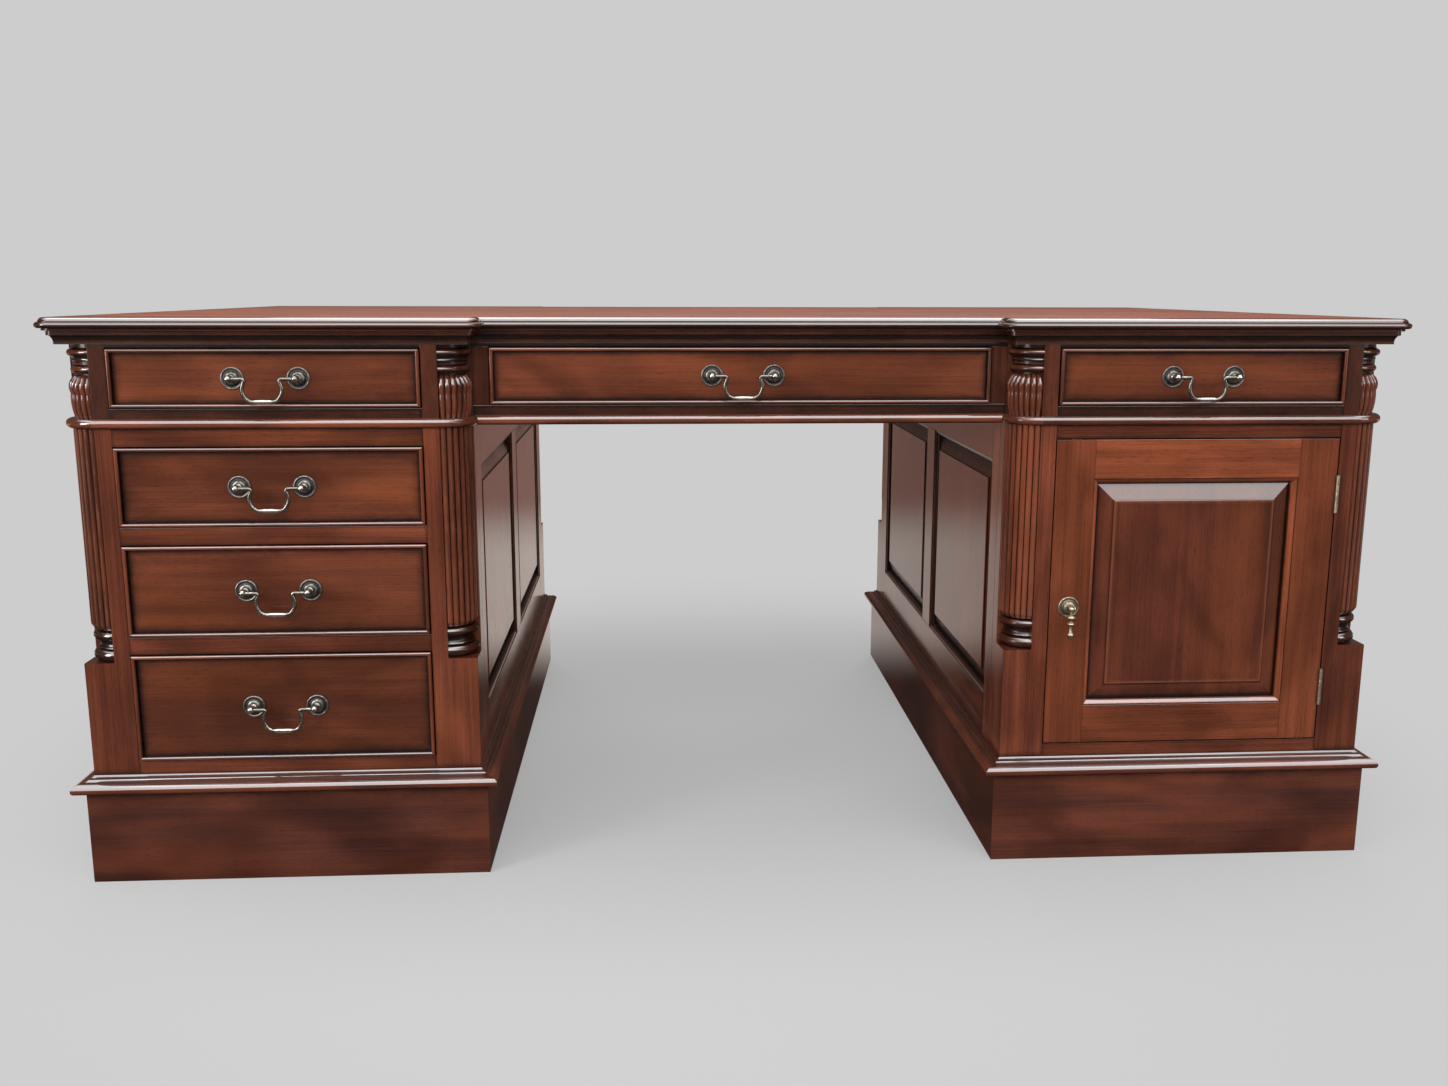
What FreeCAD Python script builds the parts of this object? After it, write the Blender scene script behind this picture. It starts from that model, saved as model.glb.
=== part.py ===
"""Partners desk: two pedestals, a breakfront frieze of drawers and a moulded top.

X runs along the desk, the front looks towards -Y and Z points up. The origin is on the
floor under the middle of the desk, and all lengths are in millimetres. The back is the
front turned half round, so each pedestal has drawers on one side and a cupboard on the other.
"""
import math
import os
from collections import namedtuple

import FreeCAD
import Part
from FreeCAD import Vector

# Plan of the case
kneehole_width = 740.0
pedestal_width = 530.0
pedestal_depth = 1040.0
column_radius = 40.0
front_stile_width = 22.0
centre_stile_width = 22.5
frame_thickness = 22.0
side_stile_width = 60.0
side_top_rail_height = 60.0
side_bottom_rail_height = 63.0
muntin_width = 58.0

# Heights, from the floor upwards
plinth_height = 133.0
plinth_moulding_height = 21.0
block_height = 160.0
bottom_rail_height = 19.0
bottom_drawer_height = 152.0
middle_drawer_height = 128.0
top_drawer_height = 109.0
drawer_rail_height = 24.0
cupboard_rail_height = 18.5
waist_bead_height = 13.0
frieze_sill_height = 13.5
frieze_drawer_height = 80.0
frieze_lintel_height = 4.5
cornice_height = 18.0
top_thickness = 17.0

# Plinth
plinth_projection = 9.0
plinth_board_thickness = 20.0
plinth_block_size = 45.0
plinth_block_height = 75.0
plinth_moulding_projection = 15.0
plinth_moulding_bearing_width = 55.0
plinth_moulding_nose = 5.0

# Case boards, runners and shelves
case_board_thickness = 12.0
partition_thickness = 18.0
ceiling_thickness = 8.0
runner_lip = 12.0
guide_height = 25.0
shelf_thickness = 16.0
shelf_setback = 20.0
shelf_clearance = 0.5
shelf_height_share = 0.5
cleat_size = 18.0

# Columns
reed_count = 7
reed_depth = 2.6
column_base_height = 43.0
shaft_entry_height = 26.0
shaft_entry_radius = 33.0
frieze_column_radius = 37.0
capital_height = 41.0
reed_dome_height = 13.0
reed_dome_radius = 31.0

# Mouldings of the waist, cornice and top
bead_flat = 1.5
cornice_projection = 9.0
cornice_fillet_height = 6.0
cornice_step = 2.0
cornice_foot = 1.5
top_overhang = 22.0
top_soffit_reach = 14.0
top_fillet_height = 3.0
bullnose_height = 8.0
top_quirk = 0.7
top_flat_reach = 10.5

# Raised panels and the mouldings round them
panel_tongue_thickness = 6.0
panel_tongue_setback = 11.0
panel_groove_depth = 7.0
panel_groove_clearance = 0.3
panel_bead_width = 8.0
panel_bead_rise = 9.5
panel_bevel_width = 23.0
panel_bevel_rise = 6.5
panel_field_rise = 2.0

# Drawers
drawer_gap = 1.2
drawer_field_recess = 3.0
drawer_front_thickness = 20.0
cock_bead_width = 5.0
cock_bead_rise = 4.0
drawer_side_thickness = 12.0
drawer_bottom_thickness = 6.0
drawer_bottom_rise = 7.0
drawer_headroom = 9.0
drawer_side_clearance = 1.0
drawer_rear_clearance = 30.0
running_clearance = 0.3

# Drawer pulls
pull_centres = 86.0
pull_rosette_radius = 15.2
pull_rosette_thickness = 5.0
pull_shank_radius = 2.5
pull_neck_radius = 2.9
pull_collar_radius = 4.6
pull_knob_radius = 5.3
pull_standoff = 18.0
pull_nut_radius = 6.5
pull_nut_thickness = 4.0
bail_rod_radius = 2.7
bail_pin_length = 3.0
bail_run = 21.5
bail_neck_spread = 6.0
bail_drop = 30.0
bail_grip_length = 37.0
bail_grip_radius = 3.5
bail_shoulder_radius = 5.0
bail_neck_radius = 13.0
bail_heel_radius = 8.0
bail_neck_share = 0.52
grip_span_share = 0.8

# Cupboard doors
door_gap = 1.5
door_thickness = 22.0
door_stile_width = 55.0
hinge_height = 53.0
hinge_inset = 80.0
hinge_leaf_width = 20.0
hinge_leaf_thickness = 1.2
hinge_knuckle_radius = 2.5
hinge_pin_radius = 1.1
hinge_clearance = 0.4
hinge_middle_share = 0.36
catch_radius = 4.0
catch_length = 14.0
catch_rise = 0.9
strike_length = 24.0
strike_width = 14.0
strike_thickness = 1.2

# Door pull
drop_rosette_radius = 15.0
drop_rosette_thickness = 4.0
drop_inset = 27.0
drop_height_share = 0.4585
drop_standoff = 15.0
drop_stem_radius = 2.8
drop_bridge_height = 7.0
drop_cheek_radius = 4.4
drop_cheek_thickness = 2.0
drop_cheek_gap = 5.6
drop_pin_radius = 1.5
drop_eye_radius = 3.8
drop_eye_length = 4.8
drop_length = 41.0
drop_radius = 5.4
overrun = 2.0

# Bows of rounded edges, as shares of their chords
half_round_share = 0.5
quarter_round_share = 0.2
shaft_flare_share = 0.14
cornice_hollow_share = -0.17
pull_neck_share = -0.2

# Outlines as shares of the sizes they follow: radius, height, and bow of the edge leaving the point
column_base_shares = [
    (0.0, 0.0, 0.0),
    (0.78, 0.0, 0.5),
    (0.78, 0.38, 0.0),
    (0.84, 0.42, -0.22),
    (0.80, 0.68, 0.5),
    (0.80, 0.97, 0.0),
    (0.78, 1.0, 0.0),
    (0.0, 1.0, 0.0),
]
capital_shares = [
    (0.0, 0.0, 0.0),
    (0.80, 0.0, 0.0),
    (0.80, 0.05, 0.5),
    (0.80, 0.30, 0.0),
    (0.84, 0.34, 0.0),
    (0.84, 0.44, 0.0),
    (0.88, 0.48, -0.2),
    (0.90, 0.60, 0.42),
    (0.90, 0.84, 0.0),
    (0.86, 0.88, 0.0),
    (0.86, 1.0, 0.0),
    (0.0, 1.0, 0.0),
]
plinth_ogee_shares = [
    (1.0, 0.24, 0.0),
    (1.0, 0.38, 0.12),
    (0.52, 0.66, -0.10),
    (0.22, 0.78, 0.0),
    (0.22, 0.87, -0.15),
    (0.0, 1.0, 0.0),
]
rosette_shares = [
    (1.0, 0.0, 0.0),
    (1.0, 0.20, 0.3),
    (0.86, 0.42, 0.0),
    (0.84, 0.34, 0.0),
    (0.66, 0.34, 0.0),
    (0.64, 0.44, 0.2),
    (0.32, 1.0, 0.0),
]
drop_shares = [
    (0.0, 1.0, 0.2),
    (0.96, 0.91, 0.15),
    (0.90, 0.86, -0.1),
    (0.46, 0.58, 0.0),
    (0.78, 0.55, 0.4),
    (0.78, 0.47, 0.0),
    (0.50, 0.44, -0.1),
    (0.60, 0.34, 0.0),
    (1.0, 0.31, 0.4),
    (1.0, 0.25, 0.0),
    (0.42, 0.19, 0.0),
    (0.36, 0.04, 0.0),
    (0.0, 0.04, 0.0),
]
grip_shares = [
    (0.0, -0.5, 0.0),
    (0.9, -0.5, 0.25),
    (0.9, -0.43, 0.0),
    (0.75, -0.40, 0.06),
    (1.0, 0.0, 0.06),
    (0.75, 0.40, 0.0),
    (0.9, 0.43, 0.25),
    (0.9, 0.5, 0.0),
    (0.0, 0.5, 0.0),
]

# Places worked out from the sizes above
half_kneehole = kneehole_width / 2
outer_face = half_kneehole + pedestal_width
half_depth = pedestal_depth / 2
front_face = -half_depth
centre_face = front_face + column_radius
post_width = column_radius + front_stile_width
opening_inner = half_kneehole + post_width
opening_outer = outer_face - post_width
inner_wall = half_kneehole + frame_thickness
outer_wall = outer_face - frame_thickness
rail_back = front_face + post_width
centre_opening = half_kneehole - centre_stile_width
partition_face = -partition_thickness / 2

case_bottom = plinth_height + plinth_moulding_height
block_top = case_bottom + block_height
bottom_floor = case_bottom + bottom_rail_height
bottom_head = bottom_floor + bottom_drawer_height
middle_floor = bottom_head + drawer_rail_height
middle_head = middle_floor + middle_drawer_height
top_floor = middle_head + drawer_rail_height
top_head = top_floor + top_drawer_height
waist = top_head + drawer_rail_height
cupboard_head = waist - cupboard_rail_height
bead_top = waist + waist_bead_height
frieze_floor = bead_top + frieze_sill_height
frieze_head = frieze_floor + frieze_drawer_height
cornice_bottom = frieze_head + frieze_lintel_height
cornice_top = cornice_bottom + cornice_height

ORIGIN = Vector(0, 0, 0)
X_AXIS = Vector(1, 0, 0)
Z_AXIS = Vector(0, 0, 1)
FRONT = Vector(0, -1, 0)

Corner = namedtuple("Corner", "x y into_x into_y")
Compartment = namedtuple("Compartment", "name x_ends walls floor head face")


def span_box(x_ends, y_ends, z_ends):
    """Box between two ends on each axis, given in either order."""
    low = Vector(min(x_ends), min(y_ends), min(z_ends))
    size = Vector(max(x_ends), max(y_ends), max(z_ends)) - low
    return Part.makeBox(size.x, size.y, size.z, low)


def one_solid(shape):
    """The single solid that a cut or a fuse leaves, with its split faces joined."""
    return shape.removeSplitter().Solids[0]


def half_turn(shape):
    """Copy of a shape turned half round the desk's upright axis."""
    turned = shape.copy()
    turned.rotate(ORIGIN, Z_AXIS, 180)
    return turned


def both_sides(solids):
    """The front's solids, then the same ones on the back."""
    return solids + [half_turn(solid) for solid in solids]


def outline_face(points, origin, a_axis, b_axis):
    """Flat face inside an outline of (a, b, bow) points on two axes.

    The bow is how far the edge that leaves a point swells to its right, as a share of its chord.
    """
    def place(a, b):
        return origin + a_axis * a + b_axis * b

    edges = []
    for (a, b, bow), (next_a, next_b, _) in zip(points, points[1:] + points[:1]):
        start, end = place(a, b), place(next_a, next_b)
        if bow:
            middle = place((a + next_a) / 2 + (next_b - b) * bow, (b + next_b) / 2 - (next_a - a) * bow)
            edges.append(Part.Arc(start, middle, end).toShape())
        else:
            edges.append(Part.makeLine(start, end))
    return Part.Face(Part.Wire(edges))


def scaled_outline(shares, radius, height, base=0):
    """Outline points from shares of a radius and a height above a base."""
    return [(a * radius, base + b * height, bow) for a, b, bow in shares]


def turned_piece(points, base, axis, angle=360):
    """Solid of revolution of (radius, height, bow) points about an axis through a base point."""
    radial = X_AXIS if axis == Z_AXIS else Z_AXIS
    return outline_face(points, base, radial, axis).revolve(base, axis, angle)


def section_run(points, start, end, outward):
    """Length of a moulding: (outward, up, bow) points carried from start to end."""
    return outline_face(points, start, outward, Z_AXIS).extrude(end - start)


def beyond(corner, normal, reach):
    """Block on the far side of an upright plane through a corner, which cuts a mitre."""
    block = Part.makeBox(reach, 2 * reach, 2 * reach, Vector(0, -reach, -reach))
    block.rotate(ORIGIN, Z_AXIS, math.degrees(math.atan2(normal.y, normal.x)))
    block.translate(corner)
    return block


def rectangle_corners(x_ends, y_ends, z, inset=0):
    """Corners of a level rectangle drawn in by an inset, counter-clockwise."""
    x_low, x_high = min(x_ends) + inset, max(x_ends) - inset
    y_low, y_high = min(y_ends) + inset, max(y_ends) - inset
    return [Vector(x_low, y_low, z), Vector(x_high, y_low, z),
            Vector(x_high, y_high, z), Vector(x_low, y_high, z)]


def mitred_ring(points, x_ends, y_ends, z):
    """Four lengths of a section round a rectangle, mitred at its corners."""
    reach = 2 * max(max(abs(a), abs(b)) for a, b, _ in points)
    corners = rectangle_corners(x_ends, y_ends, z)
    lengths = []
    for start, end in zip(corners, corners[1:] + corners[:1]):
        along = (end - start).normalize()
        outward = Vector(along.y, -along.x, 0)
        length = section_run(points, start - along * reach, end + along * reach, outward)
        length = length.cut(beyond(start, along * -1 - outward, 2 * reach))
        length = length.cut(beyond(end, along - outward, 2 * reach))
        lengths.append(one_solid(length))
    return lengths


def breakfront_corners(z):
    """Corners of the frieze's outline, counter-clockwise from the front left."""
    front = [
        Vector(-outer_face, front_face, z),
        Vector(-half_kneehole, front_face, z),
        Vector(-half_kneehole, centre_face, z),
        Vector(half_kneehole, centre_face, z),
        Vector(half_kneehole, front_face, z),
        Vector(outer_face, front_face, z),
    ]
    return front + [Vector(-point.x, -point.y, z) for point in front]


def breakfront_edges(z):
    """Start, end, direction, outward way and the two ends' kinds of each edge of the outline."""
    corners = breakfront_corners(z)
    count = len(corners)
    ways = [(corners[(i + 1) % count] - corners[i]).normalize() for i in range(count)]
    convex = [ways[i - 1].cross(ways[i]).z > 0 for i in range(count)]
    for i, way in enumerate(ways):
        j = (i + 1) % count
        yield corners[i], corners[j], way, Vector(way.y, -way.x, 0), convex[i], convex[j]


def moulded_board(points, z, thickness):
    """Breakfront board whose moulded edge follows its outline and turns round its corners."""
    outline = breakfront_corners(z)
    core = Part.Face(Part.makePolygon(outline + outline[:1])).extrude(Z_AXIS * thickness)
    edge = []
    for start, end, _, outward, _, convex_end in breakfront_edges(z):
        edge.append(section_run(points, start, end, outward))
        if convex_end:
            section = outline_face(points, end, outward, Z_AXIS)
            edge.append(section.revolve(end, Z_AXIS, 90))
    return one_solid(core.multiFuse(edge))


def moulded_lengths(points, z):
    """Mitred lengths of a moulding on the breakfront outline, rounded at the outer corners."""
    reach = 2 * max(max(abs(a), abs(b)) for a, b, _ in points)
    lengths = []
    for start, end, way, outward, convex_start, convex_end in breakfront_edges(z):
        length = section_run(points, start, end, outward)
        for corner, onward, convex, turn in (
            (start, way * -1, convex_start, -45),
            (end, way, convex_end, 45),
        ):
            if convex:
                section = outline_face(points, corner, outward, Z_AXIS)
                length = length.fuse(section.revolve(corner, Z_AXIS, turn))
            else:
                length = length.cut(beyond(corner, onward + outward, reach))
        lengths.append(one_solid(length))
    return lengths


def column_corners(sides=(-1, 1)):
    """Corners of the pedestals on the given sides, with the ways into each corner post."""
    for side in sides:
        for x, into_x in ((side * outer_face, -side), (side * half_kneehole, side)):
            for into_y in (1, -1):
                yield Corner(x, -into_y * half_depth, into_x, into_y)


def notched_post(corner, bottom, notch_bottom, notch_top, top):
    """Square corner post whose outer corner is cut out over the column's height."""
    def corner_block(size, z_ends):
        x_ends = (corner.x, corner.x + corner.into_x * size)
        y_ends = (corner.y, corner.y + corner.into_y * size)
        return span_box(x_ends, y_ends, z_ends)

    post = corner_block(post_width, (bottom, top))
    return one_solid(post.cut(corner_block(column_radius, (notch_bottom, notch_top))))


def at_corner(piece, corner):
    """Copy of a quarter-round piece, set in the notch of a corner post."""
    placed = piece.copy()
    facing = math.degrees(math.atan2(-corner.into_y, -corner.into_x))
    placed.rotate(ORIGIN, Z_AXIS, facing - 45)
    placed.translate(Vector(corner.x + corner.into_x * column_radius,
                            corner.y + corner.into_y * column_radius, 0))
    return placed


def reeded_quarter(crest_radius, bottom, top):
    """Quarter of a reeded shaft: equal convex reeds that meet in sharp grooves."""
    step = math.pi / 2 / reed_count

    def on_ring(radius, turns):
        return Vector(radius * math.cos(turns * step), radius * math.sin(turns * step), bottom)

    groove_radius = crest_radius - reed_depth
    axis_point = Vector(0, 0, bottom)
    edges = [Part.makeLine(axis_point, on_ring(groove_radius, 0))]
    for reed in range(reed_count):
        start, end = on_ring(groove_radius, reed), on_ring(groove_radius, reed + 1)
        edges.append(Part.Arc(start, on_ring(crest_radius, reed + 1 / 2), end).toShape())
    edges.append(Part.makeLine(on_ring(groove_radius, reed_count), axis_point))
    return Part.Face(Part.Wire(edges)).extrude(Z_AXIS * (top - bottom))


def pedestal_column():
    """Long quarter column: a base of two rolls and a hollow, and a shaft that swells from it."""
    shaft_bottom = block_top + column_base_height
    base_points = scaled_outline(column_base_shares, column_radius, column_base_height, block_top)
    base = turned_piece(base_points, ORIGIN, Z_AXIS, 90)
    limit = [
        (0, shaft_bottom, 0),
        (shaft_entry_radius, shaft_bottom, shaft_flare_share),
        (column_radius + overrun, shaft_bottom + shaft_entry_height, 0),
        (column_radius + overrun, waist, 0),
        (0, waist, 0),
    ]
    shaft = reeded_quarter(column_radius, shaft_bottom, waist)
    return one_solid(base.fuse(shaft.common(turned_piece(limit, ORIGIN, Z_AXIS, 90))))


def frieze_column():
    """Short quarter column: reeds that round in under a ringed capital."""
    capital_bottom = cornice_bottom - capital_height
    capital_points = scaled_outline(capital_shares, column_radius, capital_height, capital_bottom)
    capital = turned_piece(capital_points, ORIGIN, Z_AXIS, 90)
    limit = [
        (0, bead_top, 0),
        (frieze_column_radius + overrun, bead_top, 0),
        (frieze_column_radius + overrun, capital_bottom - reed_dome_height, shaft_flare_share),
        (reed_dome_radius, capital_bottom, 0),
        (0, capital_bottom, 0),
    ]
    shaft = reeded_quarter(frieze_column_radius, bead_top, capital_bottom)
    return one_solid(capital.fuse(shaft.common(turned_piece(limit, ORIGIN, Z_AXIS, 90))))


def columns_of(piece):
    """One copy of a quarter column in each corner of both pedestals."""
    return [at_corner(piece, corner) for corner in column_corners()]


def waist_beads():
    """Half-round bead on the waist line: straight lengths and turned corners over the columns."""
    def bead_points(flat_reach):
        return [(0, 0, 0), (flat_reach, 0, half_round_share), (flat_reach, waist_bead_height, 0),
                (0, waist_bead_height, 0)]

    straight = bead_points(bead_flat)
    corner_piece = turned_piece(bead_points(column_radius + bead_flat), Vector(0, 0, waist), Z_AXIS, 90)
    corners = columns_of(corner_piece)

    def front_run(start_x, end_x, y):
        return section_run(straight, Vector(start_x, y, waist), Vector(end_x, y, waist), FRONT)

    inner, outer = half_kneehole + column_radius, outer_face - column_radius
    end_run = section_run(straight, Vector(outer_face, centre_face, waist),
                          Vector(outer_face, -centre_face, waist), X_AXIS)
    centre_run = front_run(-half_kneehole, half_kneehole, centre_face)
    coped = one_solid(centre_run.cut(Part.makeCompound(corners)))
    runs = [front_run(-outer, -inner, front_face), front_run(inner, outer, front_face), end_run, coped]
    return corners + both_sides(runs)


def cornice_mouldings():
    """Lengths of the cornice under the top: a hollow below a square fillet."""
    cove_top = cornice_height - cornice_fillet_height
    points = [
        (0, 0, 0),
        (cornice_foot, 0, cornice_hollow_share),
        (cornice_projection - cornice_step, cove_top, 0),
        (cornice_projection, cove_top, 0),
        (cornice_projection, cornice_height, 0),
        (0, cornice_height, 0),
    ]
    return moulded_lengths(points, cornice_bottom)


def top_board():
    """Top board; its edge is a fillet, a bullnose and a quarter round below the flat."""
    bullnose_seat = top_overhang - bullnose_height / 2
    bullnose_top = top_fillet_height + bullnose_height
    points = [
        (0, 0, 0),
        (top_soffit_reach, 0, 0),
        (top_soffit_reach, top_fillet_height, 0),
        (bullnose_seat, top_fillet_height, half_round_share),
        (bullnose_seat, bullnose_top, 0),
        (bullnose_seat - top_quirk, bullnose_top, quarter_round_share),
        (top_flat_reach, top_thickness, 0),
        (0, top_thickness, 0),
    ]
    return moulded_board(points, cornice_top, top_thickness)


def frieze_frame():
    """Posts, rails and centre stiles that frame the frieze drawers on both sides."""
    posts = [notched_post(corner, waist, waist, cornice_bottom, cornice_top)
             for corner in column_corners()]
    front = []
    for x_ends, face in (
        ((-opening_outer, -opening_inner), front_face),
        ((-half_kneehole, half_kneehole), centre_face),
        ((opening_inner, opening_outer), front_face),
    ):
        front.append(span_box(x_ends, (face, rail_back), (waist, frieze_floor)))
        front.append(span_box(x_ends, (face, rail_back), (frieze_head, cornice_top)))
    for side in (-1, 1):
        x_ends = (side * centre_opening, side * half_kneehole)
        front.append(span_box(x_ends, (centre_face, rail_back), (frieze_floor, frieze_head)))
    return posts + both_sides(front)


def framed(solids, groove):
    """Frame pieces with the groove for a panel's tongue cut in them."""
    return [one_solid(solid.cut(groove)) for solid in solids]


def raised_panel(width, height):
    """Raised and fielded panel in a frame whose face is at y = 0, centred on the opening."""
    half_width, half_height = width / 2, height / 2
    tongue = span_box(
        (-half_width - panel_groove_depth + panel_groove_clearance,
         half_width + panel_groove_depth - panel_groove_clearance),
        (panel_tongue_setback, panel_tongue_setback + panel_tongue_thickness),
        (-half_height - panel_groove_depth + panel_groove_clearance,
         half_height + panel_groove_depth - panel_groove_clearance),
    )

    def rectangle(inset, y):
        x, z = half_width - inset, half_height - inset
        corners = [Vector(-x, y, -z), Vector(x, y, -z), Vector(x, y, z), Vector(-x, y, z)]
        return Part.makePolygon(corners + corners[:1])

    bevel_top = panel_tongue_setback - panel_bevel_rise
    field_inset = panel_bead_width + panel_bevel_width
    outlines = [rectangle(panel_bead_width, panel_tongue_setback), rectangle(field_inset, bevel_top)]
    bevel = Part.makeLoft(outlines, True, True)
    field = span_box((-half_width + field_inset, half_width - field_inset),
                     (bevel_top, bevel_top - panel_field_rise),
                     (-half_height + field_inset, half_height - field_inset))
    return one_solid(tongue.multiFuse([bevel, field]))


def panel_beads(width, height):
    """Four mitred quarter rounds that lie on the panel's margin, against the frame."""
    foot = -panel_tongue_setback
    points = [
        (-panel_bead_width, foot, 0),
        (0, foot, 0),
        (0, foot + panel_bead_rise, quarter_round_share),
    ]
    ring = mitred_ring(points, (-width / 2, width / 2), (-height / 2, height / 2), 0)
    for length in ring:
        length.rotate(ORIGIN, X_AXIS, 90)
    return ring


def panel_groove(width, height):
    """Block that cuts the panel's groove in its frame, placed as the panel is."""
    half_width, half_height = width / 2 + panel_groove_depth, height / 2 + panel_groove_depth
    y_ends = (panel_tongue_setback, panel_tongue_setback + panel_tongue_thickness)
    return span_box((-half_width, half_width), y_ends, (-half_height, half_height))


def set_on_side(shape, side_x, outward, y, z):
    """Copy of a front-facing shape, turned to face along X and set on a pedestal's side."""
    placed = shape.copy()
    placed.rotate(ORIGIN, Z_AXIS, 90 * outward)
    placed.translate(Vector(side_x, y, z))
    return placed


def pedestal_side(side_x, outward):
    """Frame pieces and panels of one side of a pedestal that faces along X."""
    stile_start = -rail_back
    stile_end = -(centre_face + side_stile_width)
    half_muntin = muntin_width / 2
    panel_bottom = case_bottom + side_bottom_rail_height
    panel_top = waist - side_top_rail_height
    x_ends = (side_x, side_x - outward * frame_thickness)
    frame = [
        span_box(x_ends, (stile_start, stile_end), (case_bottom, waist)),
        span_box(x_ends, (-stile_start, -stile_end), (case_bottom, waist)),
        span_box(x_ends, (-stile_end, stile_end), (case_bottom, panel_bottom)),
        span_box(x_ends, (-stile_end, stile_end), (panel_top, waist)),
        span_box(x_ends, (-half_muntin, half_muntin), (panel_bottom, panel_top)),
    ]
    width, height = stile_end - half_muntin, panel_top - panel_bottom
    panel, groove = raised_panel(width, height), panel_groove(width, height)
    panels, beads = [], []
    for direction in (-1, 1):
        middle_y, middle_z = direction * (stile_end + half_muntin) / 2, (panel_top + panel_bottom) / 2
        place = (side_x, outward, middle_y, middle_z)
        frame = framed(frame, set_on_side(groove, *place))
        panels.append(set_on_side(panel, *place))
        beads += [set_on_side(bead, *place) for bead in panel_beads(width, height)]
    return frame + beads, panels


def pedestal_rail(floor, head, direction):
    """Rail between the posts of the right pedestal, on its front (-1) or its back (1)."""
    y_ends = (direction * half_depth, -direction * rail_back)
    return span_box((opening_inner, opening_outer), y_ends, (floor, head))


def right_pedestal():
    """Frame and panels of the right pedestal: the cupboard in front, drawers at the back."""
    posts = [notched_post(corner, case_bottom, block_top, waist, waist)
             for corner in column_corners((1,))]
    for leaf in hinge_leaf_plates(opening_outer, 1):
        posts = [one_solid(post.cut(leaf)) for post in posts]
    frame, panels = [], []
    for side_x, outward in ((outer_face, 1), (half_kneehole, -1)):
        side_frame, side_panels = pedestal_side(side_x, outward)
        frame += side_frame
        panels += side_panels
    rails = [pedestal_rail(case_bottom, bottom_floor, direction) for direction in (-1, 1)]
    rails.append(pedestal_rail(top_head, waist, 1))
    rails.append(one_solid(pedestal_rail(cupboard_head, waist, -1).cut(catch_strike())))
    rails.append(pedestal_rail(bottom_head, middle_floor, 1))
    rails.append(pedestal_rail(middle_head, top_floor, 1))
    return posts + frame + rails, panels


def case_boards():
    """Boards inside the case: frieze ends and partitions, ceiling, pedestal bottoms and tops."""
    y_ends = (rail_back, -rail_back)
    middle = (-partition_face, partition_face)
    walls, frieze = (inner_wall, outer_wall), (waist, cornice_top)
    top_underside = waist - case_board_thickness
    right = [
        span_box((outer_wall, outer_face), y_ends, frieze),
        span_box((half_kneehole, inner_wall), y_ends, frieze),
        span_box(walls, middle, frieze),
        span_box(walls, y_ends, (bottom_floor - case_board_thickness, bottom_floor)),
        span_box(walls, y_ends, (top_underside, waist)),
        span_box(walls, middle, (bottom_floor, top_underside)),
    ]
    ceiling_top = waist + ceiling_thickness
    centre = [
        span_box((-half_kneehole, half_kneehole), y_ends, (waist, ceiling_top)),
        span_box((-half_kneehole, half_kneehole), middle, (ceiling_top, cornice_top)),
    ]
    return both_sides(right) + centre


def front_compartments():
    """Spaces of the six drawers on the front: three in the frieze, three in the left pedestal."""
    left_ends, left_walls = (-opening_outer, -opening_inner), (-outer_wall, -inner_wall)
    right_ends, right_walls = (opening_inner, opening_outer), (inner_wall, outer_wall)
    centre_ends, centre_walls = (-centre_opening, centre_opening), (-half_kneehole, half_kneehole)
    return [
        Compartment("left_frieze", left_ends, left_walls, frieze_floor, frieze_head, front_face),
        Compartment("centre_frieze", centre_ends, centre_walls, frieze_floor, frieze_head, centre_face),
        Compartment("right_frieze", right_ends, right_walls, frieze_floor, frieze_head, front_face),
        Compartment("top", left_ends, left_walls, top_floor, top_head, front_face),
        Compartment("middle", left_ends, left_walls, middle_floor, middle_head, front_face),
        Compartment("bottom", left_ends, left_walls, bottom_floor, bottom_head, front_face),
    ]


def runner_foot(space):
    """Height of the underside of a compartment's runners."""
    if space.name == "bottom":
        return space.floor
    if space.name == "centre_frieze":
        return waist + ceiling_thickness
    if space.floor == frieze_floor:
        return waist
    return space.floor - drawer_rail_height


def drawer_runners():
    """Runner and guide at both sides of each drawer; the lowest drawers run on the case bottom."""
    pieces = []
    y_ends = (rail_back, partition_face)
    for space in front_compartments():
        foot = runner_foot(space)
        for edge, wall, inward in zip(space.x_ends, space.walls, (1, -1)):
            pieces.append(span_box((wall, edge), y_ends, (space.floor, space.floor + guide_height)))
            if foot < space.floor:
                pieces.append(span_box((wall, edge + inward * runner_lip), y_ends, (foot, space.floor)))
    return both_sides(pieces)


def cupboard_shelves():
    """Shelf of the front cupboard on two cleats, and the same in the back cupboard."""
    shelf_bottom = bottom_floor + (cupboard_head - bottom_floor) * shelf_height_share
    y_ends = (rail_back + shelf_setback, partition_face - shelf_clearance)
    shelf = span_box((inner_wall + shelf_clearance, outer_wall - shelf_clearance), y_ends,
                     (shelf_bottom, shelf_bottom + shelf_thickness))
    cleat_z = (shelf_bottom - cleat_size, shelf_bottom)
    cleats = [span_box((wall, wall + inward * cleat_size), y_ends, cleat_z)
              for wall, inward in ((inner_wall, 1), (outer_wall, -1))]
    return both_sides([shelf] + cleats)


def plinth_ends():
    """Outer faces of the right plinth along X and Y."""
    y_end = half_depth + plinth_projection
    return (half_kneehole - plinth_projection, outer_face + plinth_projection), (-y_end, y_end)


def plinth_boards():
    """Mitred boards of both plinths."""
    outer = rectangle_corners(*plinth_ends(), 0)
    inner = rectangle_corners(*plinth_ends(), 0, plinth_board_thickness)
    boards = []
    for i in range(len(outer)):
        plan = Part.makePolygon([outer[i - 1], outer[i], inner[i], inner[i - 1], outer[i - 1]])
        boards.append(Part.Face(plan).extrude(Z_AXIS * plinth_height))
    return both_sides(boards)


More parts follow.
